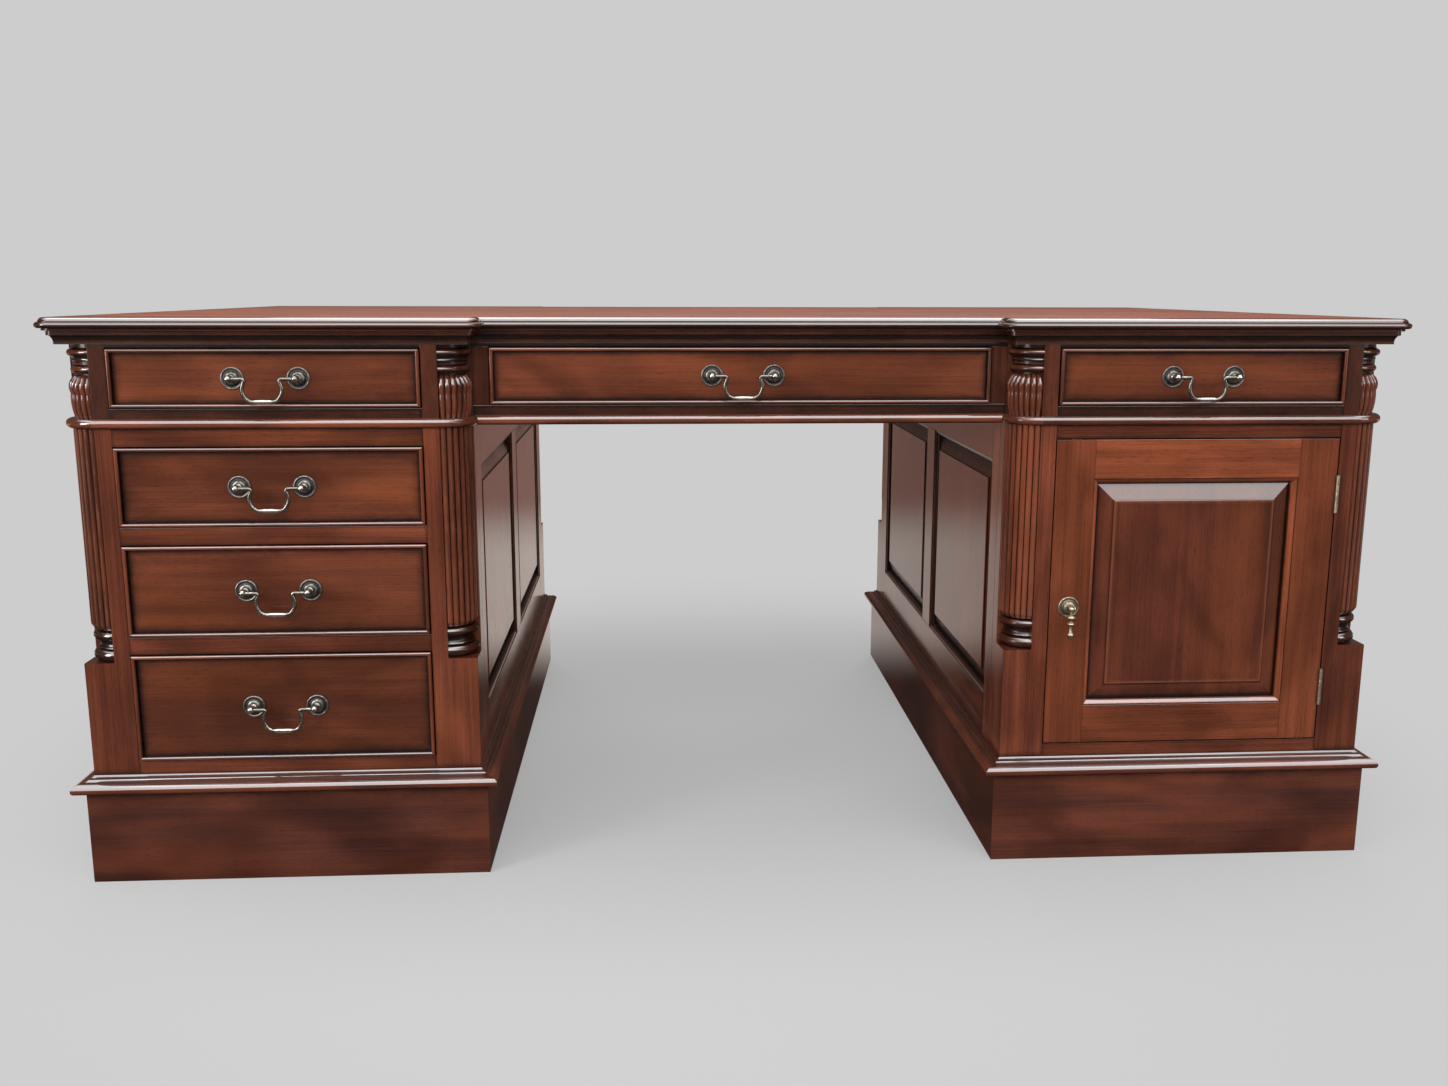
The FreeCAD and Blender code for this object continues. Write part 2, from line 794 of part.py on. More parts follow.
def plinth_corner_blocks():
    """Blocks glued inside the plinths' corners, below the mouldings."""
    x_ends, y_ends = plinth_ends()
    reach = plinth_board_thickness + plinth_block_size
    blocks = []
    for x, into_x in zip(x_ends, (1, -1)):
        for y, into_y in zip(y_ends, (1, -1)):
            blocks.append(span_box((x + into_x * plinth_board_thickness, x + into_x * reach),
                                   (y + into_y * plinth_board_thickness, y + into_y * reach),
                                   (plinth_height - plinth_block_height, plinth_height)))
    return both_sides(blocks)


def plinth_mouldings():
    """Mitred frames between the plinths and the pedestals, with an ogee outer edge."""
    reach = plinth_moulding_projection + plinth_projection
    points = [
        (-plinth_moulding_bearing_width, 0, 0),
        (plinth_moulding_projection - plinth_moulding_nose, 0, quarter_round_share),
    ]
    for share, height_share, bow in plinth_ogee_shares:
        points.append((share * reach - plinth_projection, height_share * plinth_moulding_height, bow))
    points.append((-plinth_moulding_bearing_width, plinth_moulding_height, 0))
    return both_sides(mitred_ring(points, *plinth_ends(), plinth_height))


def rosette(base, radius, thickness, bore_radius):
    """Stepped round back plate with a hole for its post."""
    points = scaled_outline(rosette_shares, radius, thickness)
    return turned_piece([(bore_radius, 0, 0)] + points + [(bore_radius, thickness, 0)], base, FRONT)


def x_cylinder(radius, start_x, end_x, y, z):
    """Round bar along X."""
    return Part.makeCylinder(radius, end_x - start_x, Vector(start_x, y, z), X_AXIS)


def pull_posts(space):
    """Places of a drawer's two pull posts, on the face of the drawer's field."""
    middle_x, middle_z = sum(space.x_ends) / 2, (space.floor + space.head) / 2
    return [Vector(middle_x + side * pull_centres / 2, space.face + drawer_field_recess, middle_z)
            for side in (-1, 1)]


def pull_plates(space):
    """Rosettes, ball-headed posts with a cross bore, and the nuts inside the drawer."""
    bore_radius = bail_rod_radius + running_clearance
    back = -drawer_front_thickness - pull_nut_thickness
    solids = []
    for base in pull_posts(space):
        solids.append(rosette(base, pull_rosette_radius, pull_rosette_thickness, pull_shank_radius))
        profile = [
            (0, back, 0),
            (pull_shank_radius, back, 0),
            (pull_shank_radius, pull_rosette_thickness, 0),
            (pull_collar_radius, pull_rosette_thickness, pull_neck_share),
            (pull_neck_radius, pull_standoff - pull_knob_radius, 0),
            (pull_neck_radius, pull_standoff, 0),
            (0, pull_standoff, 0),
        ]
        knob_centre = base + FRONT * pull_standoff
        post = turned_piece(profile, base, FRONT).fuse(Part.makeSphere(pull_knob_radius, knob_centre))
        bore = x_cylinder(bore_radius, knob_centre.x - pull_knob_radius - overrun,
                          knob_centre.x + pull_knob_radius + overrun, knob_centre.y, knob_centre.z)
        solids.append(one_solid(post.cut(bore)))
        nut = [
            (pull_shank_radius, back, 0),
            (pull_nut_radius, back, 0),
            (pull_nut_radius, -drawer_front_thickness, 0),
            (pull_shank_radius, -drawer_front_thickness, 0),
        ]
        solids.append(turned_piece(nut, base, FRONT))
    return solids


def rounded_wire(points, radii):
    """Wire of straight lengths joined by tangent arcs, with a radius for each inner point."""
    edges, start = [], points[0]
    for before, point, after, radius in zip(points, points[1:], points[2:], radii):
        arriving, leaving = (point - before).normalize(), (after - point).normalize()
        half_angle = arriving.getAngle(leaving) / 2
        setback = radius * math.tan(half_angle)
        inward = (leaving - arriving).normalize()
        arc_start, arc_end = point - arriving * setback, point + leaving * setback
        middle = point + inward * (radius / math.cos(half_angle) - radius)
        edges.append(Part.makeLine(start, arc_start))
        edges.append(Part.Arc(arc_start, middle, arc_end).toShape())
        start = arc_end
    edges.append(Part.makeLine(start, points[-1]))
    return Part.Wire(edges)


def bail(space):
    """Swan-neck bail: its pins lie in the posts' bores, its grip hangs level below them."""
    left, right = pull_posts(space)
    pivot_y = left.y - pull_standoff
    middle_x = (left.x + right.x) / 2
    shoulder = pull_centres / 2 - bail_run
    half_points = [
        (pull_centres / 2 + bail_pin_length, 0),
        (shoulder, 0),
        (shoulder + bail_neck_spread, -bail_drop * bail_neck_share),
        (bail_grip_length / 2, -bail_drop),
    ]
    points = [Vector(middle_x - x, pivot_y, left.z + z) for x, z in half_points]
    points += [Vector(middle_x + x, pivot_y, left.z + z) for x, z in reversed(half_points)]
    half_radii = [bail_shoulder_radius, bail_neck_radius, bail_heel_radius]
    path = rounded_wire(points, half_radii + half_radii[::-1])
    ring = Part.Wire(Part.Circle(points[0], X_AXIS, bail_rod_radius).toShape())
    rod = path.makePipeShell([ring], True, True)
    grip_base = Vector(middle_x, pivot_y, left.z - bail_drop)
    grip_points = scaled_outline(grip_shares, bail_grip_radius, bail_grip_length * grip_span_share)
    return one_solid(rod.fuse(turned_piece(grip_points, grip_base, X_AXIS)))


def cock_beads(x_ends, z_ends, face):
    """Four mitred beads round a drawer front, standing proud of it."""
    half_round = cock_bead_width / 2
    back = -drawer_field_recess - drawer_front_thickness
    points = [
        (-cock_bead_width, back, 0),
        (0, back, 0),
        (0, cock_bead_rise - half_round, half_round_share),
        (-cock_bead_width, cock_bead_rise - half_round, 0),
    ]
    ring = mitred_ring(points, x_ends, z_ends, 0)
    for length in ring:
        length.rotate(ORIGIN, X_AXIS, 90)
        length.translate(Vector(0, face, 0))
    return ring


def drawer_box(space):
    """Front with its cock beads, two sides, back and bottom of a drawer."""
    x_ends = (space.x_ends[0] + drawer_gap, space.x_ends[1] - drawer_gap)
    z_ends = (space.floor + drawer_gap, space.head - drawer_gap)
    field_y = space.face + drawer_field_recess
    front_back = field_y + drawer_front_thickness
    front = span_box((x_ends[0] + cock_bead_width, x_ends[1] - cock_bead_width), (field_y, front_back),
                     (z_ends[0] + cock_bead_width, z_ends[1] - cock_bead_width))
    for base in pull_posts(space):
        front = front.cut(Part.makeCylinder(pull_shank_radius, drawer_front_thickness, base, FRONT * -1))
    outer = (space.x_ends[0] + drawer_side_clearance, space.x_ends[1] - drawer_side_clearance)
    inner = (outer[0] + drawer_side_thickness, outer[1] - drawer_side_thickness)
    rear = partition_face - drawer_rear_clearance
    rear_inside = rear - drawer_side_thickness
    bottom_edge, top_edge = space.floor + running_clearance, space.head - drawer_headroom
    board_bottom = bottom_edge + drawer_bottom_rise
    board_top = board_bottom + drawer_bottom_thickness
    return [
        one_solid(front),
        span_box((outer[0], inner[0]), (front_back, rear), (bottom_edge, top_edge)),
        span_box((inner[1], outer[1]), (front_back, rear), (bottom_edge, top_edge)),
        span_box(inner, (rear_inside, rear), (board_top, top_edge)),
        span_box(inner, (front_back, rear), (board_bottom, board_top)),
    ] + cock_beads(x_ends, z_ends, space.face)


def hinge_heights():
    """Middles of the two hinges of a door."""
    return [bottom_floor + hinge_inset, cupboard_head - hinge_inset]


def hinge_leaf_plates(edge_x, into_wood):
    """Flat leaves of both hinges, let into the wood on one side of the door's edge."""
    x_ends = (edge_x, edge_x + into_wood * hinge_leaf_thickness)
    y_ends = (front_face, front_face + hinge_leaf_width)
    return [span_box(x_ends, y_ends, (z - hinge_height / 2, z + hinge_height / 2))
            for z in hinge_heights()]


def hinge_axis():
    """Point on the axis of the front door's hinges, at the floor."""
    return Vector(opening_outer - door_gap / 2, front_face - hinge_knuckle_radius - hinge_clearance, 0)


def knuckled_leaf(plate, edge_x, into_wood, z_spans):
    """Leaf joined to its knuckles, which are bored for the pin."""
    axis = hinge_axis()
    leaf = plate
    for low, high in z_spans:
        base = Vector(axis.x, axis.y, low)
        x_ends = (edge_x, edge_x + into_wood * hinge_leaf_thickness)
        tab = span_box(x_ends, (axis.y, front_face), (low, high))
        leaf = leaf.multiFuse([tab, Part.makeCylinder(hinge_knuckle_radius, high - low, base)])
        bore = Part.makeCylinder(hinge_pin_radius + running_clearance, high - low, base)
        leaf = leaf.cut(bore)
    return one_solid(leaf)


def hinge_pieces():
    """Fixed leaves with their pins, and moving leaves, of the front door's two hinges."""
    fixed, moving = [], []
    door_edge = opening_outer - door_gap
    fixed_plates = hinge_leaf_plates(opening_outer, 1)
    moving_plates = hinge_leaf_plates(door_edge, -1)
    half_middle = hinge_height * hinge_middle_share / 2
    for z, fixed_plate, moving_plate in zip(hinge_heights(), fixed_plates, moving_plates):
        low, high = z - hinge_height / 2, z + hinge_height / 2
        outer_spans = [(low, z - half_middle), (z + half_middle, high)]
        middle_span = [(z - half_middle + hinge_clearance, z + half_middle - hinge_clearance)]
        fixed.append(knuckled_leaf(fixed_plate, opening_outer, 1, outer_spans))
        moving.append(knuckled_leaf(moving_plate, door_edge, -1, middle_span))
        pin_base = hinge_axis() + Z_AXIS * low
        fixed.append(Part.makeCylinder(hinge_pin_radius, hinge_height, pin_base))
    return fixed, moving


def door_ends():
    """Outer ends of the front door along X and Z."""
    x_ends = (opening_inner + door_gap, opening_outer - door_gap)
    return x_ends, (bottom_floor + door_gap, cupboard_head - door_gap)


def catch_place():
    """Top of the door above the middle of its free stile, where the ball catch is."""
    x_ends, z_ends = door_ends()
    return Vector(x_ends[0] + door_stile_width / 2, front_face + door_thickness / 2, z_ends[1])


def catch_strike():
    """Plate let into the rail above the ball catch."""
    place = catch_place()
    return span_box((place.x - strike_length / 2, place.x + strike_length / 2),
                    (place.y - strike_width / 2, place.y + strike_width / 2),
                    (cupboard_head, cupboard_head + strike_thickness))


def catch_body():
    """Barrel of the ball catch with the crown of its ball."""
    crown_bow = math.tan(math.atan2(catch_rise, catch_radius) / 2) / 2
    points = [
        (0, -catch_length, 0),
        (catch_radius, -catch_length, 0),
        (catch_radius, 0, crown_bow),
        (0, catch_rise, 0),
    ]
    return turned_piece(points, catch_place(), Z_AXIS)


def drop_place():
    """Middle of the drop pull's rosette on the door's face."""
    x_ends, z_ends = door_ends()
    z = z_ends[0] + (z_ends[1] - z_ends[0]) * drop_height_share
    return Vector(x_ends[0] + drop_inset, front_face, z)


def door_frame_and_panel():
    """Stiles, rails and panel mouldings of the front door, and its raised panel."""
    x_ends, z_ends = door_ends()
    y_ends = (front_face, front_face + door_thickness)
    opening_x = (x_ends[0] + door_stile_width, x_ends[1] - door_stile_width)
    opening_z = (z_ends[0] + door_stile_width, z_ends[1] - door_stile_width)
    width, height = opening_x[1] - opening_x[0], opening_z[1] - opening_z[0]
    middle = Vector(sum(opening_x) / 2, front_face, sum(opening_z) / 2)
    frame = [
        span_box((x_ends[0], opening_x[0]), y_ends, z_ends),
        span_box((opening_x[1], x_ends[1]), y_ends, z_ends),
        span_box(opening_x, y_ends, (z_ends[0], opening_z[0])),
        span_box(opening_x, y_ends, (opening_z[1], z_ends[1])),
    ]
    groove = panel_groove(width, height)
    groove.translate(middle)
    frame = framed(frame, groove)
    place = catch_place()
    catch_hole = Part.makeCylinder(catch_radius, catch_length, place - Z_AXIS * catch_length)
    post_hole = Part.makeCylinder(drop_stem_radius, door_thickness, drop_place(), FRONT * -1)
    frame[0] = one_solid(frame[0].cut(catch_hole).cut(post_hole))
    for leaf in hinge_leaf_plates(x_ends[1], -1):
        frame[1] = one_solid(frame[1].cut(leaf))
    panel = raised_panel(width, height)
    beads = panel_beads(width, height)
    for piece in [panel] + beads:
        piece.translate(middle)
    return frame + beads, panel


def drop_fixing():
    """Rosette of the door pull, and its stem with two cheeks that hold a pin."""
    base = drop_place()
    pivot = base + FRONT * drop_standoff
    half_gap = drop_cheek_gap / 2
    reach = half_gap + drop_cheek_thickness
    stem_end = drop_standoff - drop_cheek_radius - overrun
    stem = turned_piece([(0, -door_thickness, 0), (drop_stem_radius, -door_thickness, 0),
                         (drop_stem_radius, stem_end, 0), (0, stem_end, 0)], base, FRONT)
    bridge_back = base.y - stem_end
    bridge_z = (base.z - drop_bridge_height / 2, base.z + drop_bridge_height / 2)
    bridge = span_box((base.x - reach, base.x + reach), (bridge_back + overrun, bridge_back), bridge_z)
    pieces = [bridge, x_cylinder(drop_pin_radius, base.x - reach, base.x + reach, pivot.y, pivot.z)]
    for side in (-1, 1):
        cheek_x = (base.x + side * half_gap, base.x + side * reach)
        pieces.append(x_cylinder(drop_cheek_radius, min(cheek_x), max(cheek_x), pivot.y, pivot.z))
        pieces.append(span_box(cheek_x, (bridge_back + overrun, pivot.y), bridge_z))
    return [rosette(base, drop_rosette_radius, drop_rosette_thickness, drop_stem_radius),
            one_solid(stem.multiFuse(pieces))]


def door_drop():
    """Pendant that hangs from the pin by its eye: collar, ring and bell."""
    pivot = drop_place() + FRONT * drop_standoff
    pendant = turned_piece(scaled_outline(drop_shares, drop_radius, -drop_length), pivot, Z_AXIS)
    half_eye = drop_eye_length / 2
    eye = x_cylinder(drop_eye_radius, pivot.x - half_eye, pivot.x + half_eye, pivot.y, pivot.z)
    bore = x_cylinder(drop_pin_radius + running_clearance, pivot.x - drop_eye_length,
                      pivot.x + drop_eye_length, pivot.y, pivot.z)
    return one_solid(pendant.fuse(eye).cut(bore))


def drawer_nodes():
    """Nodes of the twelve drawers: each box, its pull plates and its bail."""
    nodes = {}
    for space in front_compartments():
        pieces = {
            "drawer": drawer_box(space),
            "drawer_pull_plates": pull_plates(space),
            "drawer_bail": [bail(space)],
        }
        for piece, solids in pieces.items():
            nodes[f"front_{space.name}_{piece}"] = solids
            nodes[f"back_{space.name}_{piece}"] = [half_turn(solid) for solid in solids]
    return nodes


def door_nodes():
    """Nodes of the two cupboard doors, and the fixed hardware that they hang on."""
    frame, panel = door_frame_and_panel()
    fixed, moving = hinge_pieces()
    pieces = {
        "cupboard_door_frame": frame,
        "cupboard_door_panel": [panel],
        "cupboard_door_fittings": moving + [catch_body()] + drop_fixing(),
        "cupboard_door_drop": [door_drop()],
    }
    nodes = {"hinge_leaves_and_strikes": both_sides(fixed + [catch_strike()])}
    for piece, solids in pieces.items():
        nodes[f"front_{piece}"] = solids
        nodes[f"back_{piece}"] = [half_turn(solid) for solid in solids]
    return nodes


def carcass_nodes():
    """Nodes of everything that stays put."""
    frame, panels = right_pedestal()
    return {
        "top_board": [top_board()],
        "cornice_mouldings": cornice_mouldings(),
        "waist_beads": waist_beads(),
        "frieze_frame": frieze_frame(),
        "frieze_columns": columns_of(frieze_column()),
        "pedestal_columns": columns_of(pedestal_column()),
        "right_pedestal_frame": frame,
        "left_pedestal_frame": [half_turn(solid) for solid in frame],
        "side_panels": both_sides(panels),
        "case_boards": case_boards(),
        "drawer_runners": drawer_runners(),
        "cupboard_shelves": cupboard_shelves(),
        "plinth_boards": plinth_boards(),
        "plinth_corner_blocks": plinth_corner_blocks(),
        "plinth_mouldings": plinth_mouldings(),
    }


os.makedirs("parts", exist_ok=True)
for name, solids in {**carcass_nodes(), **drawer_nodes(), **door_nodes()}.items():
    Part.makeCompound(solids).exportStep(f"parts/{name}.step")
    print(name, len(solids), all(solid.isValid() for solid in solids))
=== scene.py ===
"""Looks of the partners desk: polished mahogany with dark glaze, painted shade and bronze pulls.

Every piece is in metres in the frame's own axes: X along the desk, -Y towards the sitter at the front, Z up.
The back of the desk is the front turned half round, so its pieces are built as front ones and turned.
Relief tells the finishes where a surface lies: about -1 in crevices, which get dark glaze and painted
shade, and 1 on arrises, which are rubbed lighter and get a painted highlight. Below -1.25 a crevice gets
no painted highlight at all.
"""
import logging
import math
import zlib
from collections.abc import Sequence
from dataclasses import dataclass, field
from enum import Enum

import bmesh
import bpy
import numpy as np
from mathutils import Matrix


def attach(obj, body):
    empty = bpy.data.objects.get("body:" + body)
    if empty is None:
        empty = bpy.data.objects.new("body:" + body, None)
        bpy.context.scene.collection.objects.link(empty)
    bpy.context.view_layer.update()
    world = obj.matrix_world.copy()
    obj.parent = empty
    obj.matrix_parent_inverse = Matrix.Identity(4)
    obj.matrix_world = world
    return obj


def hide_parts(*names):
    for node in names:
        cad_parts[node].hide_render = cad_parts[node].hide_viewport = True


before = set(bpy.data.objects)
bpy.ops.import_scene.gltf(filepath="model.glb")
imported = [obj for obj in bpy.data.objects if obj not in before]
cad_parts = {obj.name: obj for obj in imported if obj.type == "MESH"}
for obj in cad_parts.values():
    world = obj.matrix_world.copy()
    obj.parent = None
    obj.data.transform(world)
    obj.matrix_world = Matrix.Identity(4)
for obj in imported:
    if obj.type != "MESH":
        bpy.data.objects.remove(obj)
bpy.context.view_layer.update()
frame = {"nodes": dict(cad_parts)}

LOG = logging.getLogger("partners_desk")
Array = np.ndarray
Colour = tuple[float, float, float, float]
Place = tuple[float, float, float]
Ends = tuple[float, float]
Outline = Sequence[tuple[float, float, float]]
Corner = tuple[float, float, int, int]
Node = bpy.types.Node
Socket = bpy.types.NodeSocket
Tree = bpy.types.NodeTree
X_WAY = np.array([1.0, 0.0, 0.0])
Y_WAY = np.array([0.0, 1.0, 0.0])
Z_WAY = np.array([0.0, 0.0, 1.0])
HALF_ROUND = 0.5
QUARTER_ROUND = 0.2
WOOD_REACH = 40.0
TONE_ENDS = (0.2, 0.8)
POLE_RADIUS = 2e-5
NO_LENGTH = 1e-6
# Relief of a crevice that gets full glaze and painted shade, and no painted highlight.
DEEP_CREVICE = -1.3


class Grain(Enum):
    """Axis that the fibres of a board run along."""

    ALONG_X = 0
    ALONG_Y = 1
    ALONG_Z = 2


class Side(Enum):
    """The two sitters' sides of the desk."""

    FRONT = "front"
    BACK = "back"


@dataclass(frozen=True)
class DeskSizes:
    """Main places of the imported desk, on its front and right side."""

    half_knee: float = 0.370
    outer: float = 0.900
    front: float = -0.520
    column: float = 0.040
    stile: float = 0.022
    centre_stile: float = 0.0225
    frame: float = 0.022
    plinth_top: float = 0.133
    case_bottom: float = 0.154
    block_top: float = 0.314
    bottom_floor: float = 0.173
    bottom_head: float = 0.325
    middle_floor: float = 0.349
    middle_head: float = 0.477
    top_floor: float = 0.501
    top_head: float = 0.610
    cupboard_head: float = 0.6155
    waist: float = 0.634
    bead_top: float = 0.647
    frieze_floor: float = 0.6605
    frieze_head: float = 0.7405
    cornice_bottom: float = 0.745
    cornice_top: float = 0.763
    partition: float = 0.009

    @property
    def post(self) -> float:
        """Width of a square corner post."""
        return self.column + self.stile

    @property
    def centre_face(self) -> float:
        """Face of the set-back middle of the frieze."""
        return self.front + self.column

    @property
    def rail_back(self) -> float:
        """Back of the front rails."""
        return self.front + self.post

    @property
    def opening(self) -> Ends:
        """Ends along X of the right pedestal's openings."""
        return self.half_knee + self.post, self.outer - self.post

    @property
    def walls(self) -> Ends:
        """Ends along X of the space inside the right pedestal."""
        return self.half_knee + self.frame, self.outer - self.frame


SIZES = DeskSizes()


def bowed(points: Outline, steps: int = 5) -> Array:
    """Samples an outline whose edges may bow to their right.

    With h = 2 atan(2 bow) as half the turn of an edge's arc, the sample at turn w lies at the share
    1/2 + sin(w) / (2 sin(h)) of the chord and stands off it by (cos(w) - cos(h)) / (2 sin(h)) of its length.

    Args:
        points: Rows of a, b and the bow of the edge that leaves the point, as a share of its chord.
        steps: Samples on each bowed edge.

    Returns:
        Rows of a and b.
    """
    table = np.array(points, float)
    start, bow = table[:, None, :2], table[:, 2:]
    chord = np.roll(table[:, :2], -1, axis=0)[:, None] - start
    half = np.where(bow == 0, 1e-6, 2 * np.arctan(2 * bow))
    turn = half * np.linspace(-1, 1, steps + 1)[:-1]
    share = 0.5 + np.sin(turn) / (2 * np.sin(half))
    stand = (np.cos(turn) - np.cos(half)) / (2 * np.sin(half))
    right = np.stack([chord[..., 1], -chord[..., 0]], axis=-1)
    samples = start + share[..., None] * chord + stand[..., None] * right
    return samples[(bow != 0) | (np.arange(steps) == 0)]


def scaled(shares: Outline, radius: float, height: float, base: float = 0.0) -> Array:
    """Samples an outline given as shares of a radius and a height above a base.

    Args:
        shares: Rows of radius share, height share and bow.
        radius: Length of a whole radius share.
        height: Length of a whole height share.
        base: Height of the zero share.

    Returns:
        Rows of radius and height.
    """
    return bowed([(a * radius, base + b * height, bow) for a, b, bow in shares])


def turning(ring: Array, sharp: float = 0.9) -> Array:
    """Relief of a closed counter-clockwise profile: its turn at each point over a sharp corner's turn.

    Args:
        ring: Rows of a and b.
        sharp: Turn in radians that counts as a full arris or crevice.

    Returns:
        Relief from -1 in crevices to 1 on arrises.
    """
    before = ring - np.roll(ring, 1, axis=0)
    after = np.roll(ring, -1, axis=0) - ring
    cross = before[:, 0] * after[:, 1] - before[:, 1] * after[:, 0]
    return np.clip(np.arctan2(cross, (before * after).sum(axis=1)) / sharp, -1, 1)


def face_corners(centre: Array, half_width: float, half_height: float, normal: Array) -> Array:
    """Corners of an upright rectangle, counter-clockwise as seen from its normal's side.

    Args:
        centre: Middle of the rectangle.
        half_width: Half of its level side.
        half_height: Half of its upright side.
        normal: Way that it faces.

    Returns:
        Four points.
    """
    right = np.cross(Z_WAY, normal)
    signs = np.array([[-1, -1], [1, -1], [1, 1], [-1, 1]])
    return centre + signs[:, :1] * half_width * right + signs[:, 1:] * half_height * Z_WAY


def level_corners(x_ends: Ends, y_ends: Ends, z: float) -> Array:
    """Corners of a level rectangle, counter-clockwise from above."""
    (x0, x1), (y0, y1) = x_ends, y_ends
    return np.array([[x0, y0, z], [x1, y0, z], [x1, y1, z], [x0, y1, z]])


@dataclass
class Shape:
    """Closed surfaces of one piece, gathered as arrays until its mesh is made.

    Each vertex also keeps its place in its board's wood (grain), how far it is a crevice or an arris (relief)
    and its board's own tone.
    """

    name: str
    half_turned: bool = False
    points: list[Array] = field(default_factory=list)
    grain: list[Array] = field(default_factory=list)
    relief: list[Array] = field(default_factory=list)
    tone: list[Array] = field(default_factory=list)
    faces: list[list[int]] = field(default_factory=list)
    count: int = 0
    rng: np.random.Generator = field(init=False)

    def __post_init__(self) -> None:
        """Seeds the piece's own chance from its name."""
        self.rng = np.random.default_rng(zlib.crc32(self.name.encode()))

    def shell(self, grid: Array, relief: Array | float, grain: Grain, tone: float | None = None,
              looped: bool = False) -> None:
        """Adds a tube of rows of rings, closed round each ring and capped at its first and last rows.

        Args:
            grid: Points by row and place on the ring.
            relief: Relief of each point, or one that can be spread over them.
            grain: Way of the board's fibres.
            tone: Tone of the board from 0 to 1, left to chance where left out.
            looped: Whether the last row joins the first one, with no caps.
        """
        rows, ring = grid.shape[:2]
        axis = grain.value
        wood = grid[..., [axis, (axis + 1) % 3, (axis + 2) % 3]] + self.rng.uniform(0, WOOD_REACH, 3)
        index = self.count + np.arange(rows * ring).reshape(rows, ring)
        after = np.roll(index, -1, axis=1)
        quads = np.stack([index, after, np.roll(after, -1, axis=0), np.roll(index, -1, axis=0)], axis=-1)
        if looped:
            self.faces += quads.reshape(-1, 4).tolist()
        else:
            self.faces += quads[:-1].reshape(-1, 4).tolist() + [index[0, ::-1].tolist(), index[-1].tolist()]
        turn = np.array([-1, -1, 1]) if self.half_turned else np.ones(3)
        self.points.append((grid * turn).reshape(-1, 3))
        self.grain.append(wood.reshape(-1, 3))
        self.relief.append(np.broadcast_to(relief, (rows, ring)).reshape(-1))
        self.tone.append(np.full(rows * ring, self.rng.uniform(*TONE_ENDS) if tone is None else tone))
        self.count += rows * ring

    def board(self, low: Sequence[float], high: Sequence[float], grain: Grain, radius: float = 0.0006,
              edge: float = -0.5, margin: float = 0.005, tone: float | None = None,
              flat: float = 0.0) -> None:
        """Adds a board with rounded arrises: a rounded rectangle carried along the grain.

        Each ring point is its anchor plus its normal times what is left of the radius, and the rows close in
        on both ends by a part of a circle.

        Args:
            low: One corner.
            high: The opposite corner.
            grain: Way of the fibres, which the rectangle is carried along.
            radius: Radius of the arrises.
            edge: Relief along the arrises.
            margin: Distance over which that relief fades.
            tone: Tone of the board, left to chance where left out.
            flat: Relief of the flats between the arrises.
        """
        low, high = np.minimum(low, high), np.maximum(low, high)
        axis = grain.value
        across = [(axis + 1) % 3, (axis + 2) % 3]
        half = (high - low)[across] / 2
        margin = min(margin, 0.45 * float((high - low).min()) - radius)
        quarter = np.arange(4)[:, None] * math.pi / 2
        angle = quarter + np.array([0, 0, 0.25, 0.5, 0.5]) * math.pi
        normal = np.stack([np.cos(angle), np.sin(angle)], axis=-1)
        tangent = np.stack([-np.sin(angle), np.cos(angle)], axis=-1)
        diagonal = quarter + math.pi / 4
        corner = np.sign(np.stack([np.cos(diagonal), np.sin(diagonal)], axis=-1)) * (half - radius)
        anchor = corner + np.array([-1, 0, 0, 0, 1])[:, None] * margin * tangent
        bend = np.radians([20, 55, 90])
        depth = np.append(radius * (math.cos(bend[0]) - np.cos(bend)), radius + margin)
        fullness = np.append(np.sin(bend), 1.0)
        along = np.concatenate([low[axis] + depth, high[axis] - depth[::-1]])
        fullness = np.concatenate([fullness, fullness[::-1]])
        ring = anchor.reshape(1, -1, 2) + radius * fullness[:, None, None] * normal.reshape(1, -1, 2)
        grid = np.empty((len(along), ring.shape[1], 3))
        grid[..., axis] = along[:, None]
        grid[..., across] = ring + (low + high)[across] / 2
        on_ring = np.tile([0, 1, 1, 1, 0], 4)
        on_row = np.array([1, 1, 1, 0, 0, 1, 1, 1])
        self.shell(grid, flat + (edge - flat) * np.maximum(on_ring[None], on_row[:, None]), grain, tone)

    def run(self, profile: Array, origins: Array, ways: Array, up: Array, grain: Grain,
            relief: Array | None = None, looped: bool = False) -> None:
        """Adds a length of moulding: point = origin + a times the outward way + b times up.

        Args:
            profile: Closed counter-clockwise rows of a and b.
            origins: Path points.
            ways: Outward way at each path point, longer where it lies on a mitre.
            up: Way of b.
            grain: Way of the fibres.
            relief: Relief of each profile point, taken from the profile's turns where left out.
            looped: Whether the path comes back to its start.
        """
        origins, ways = np.asarray(origins, float), np.asarray(ways, float)
        grid = origins[:, None] + profile[None, :, :1] * ways[:, None] + profile[None, :, 1:] * up
        self.shell(grid, turning(profile) if relief is None else relief, grain, looped=looped)

    def mitred(self, profile: Array, corners: Array, up: Array, relief: Array | None = None) -> None:
        """Adds four lengths of moulding round a rectangle, mitred where two outward ways add up.

        Args:
            profile: Closed rows of a outward from the rectangle's edge and b along up.
            corners: Four corners, counter-clockwise about up.
            up: Way that the moulding faces.
            relief: Relief of each profile point.
        """
        along = np.roll(corners, -1, axis=0) - corners
        along = along / np.linalg.norm(along, axis=1, keepdims=True)
        outward = np.cross(along, up)
        mitre = outward + np.roll(outward, 1, axis=0)
        for i in range(4):
            ends = [i, (i + 1) % 4]
            way = Grain(int(np.argmax(np.abs(along[i]))))
            self.run(profile, corners[ends], mitre[ends], up, way, relief)

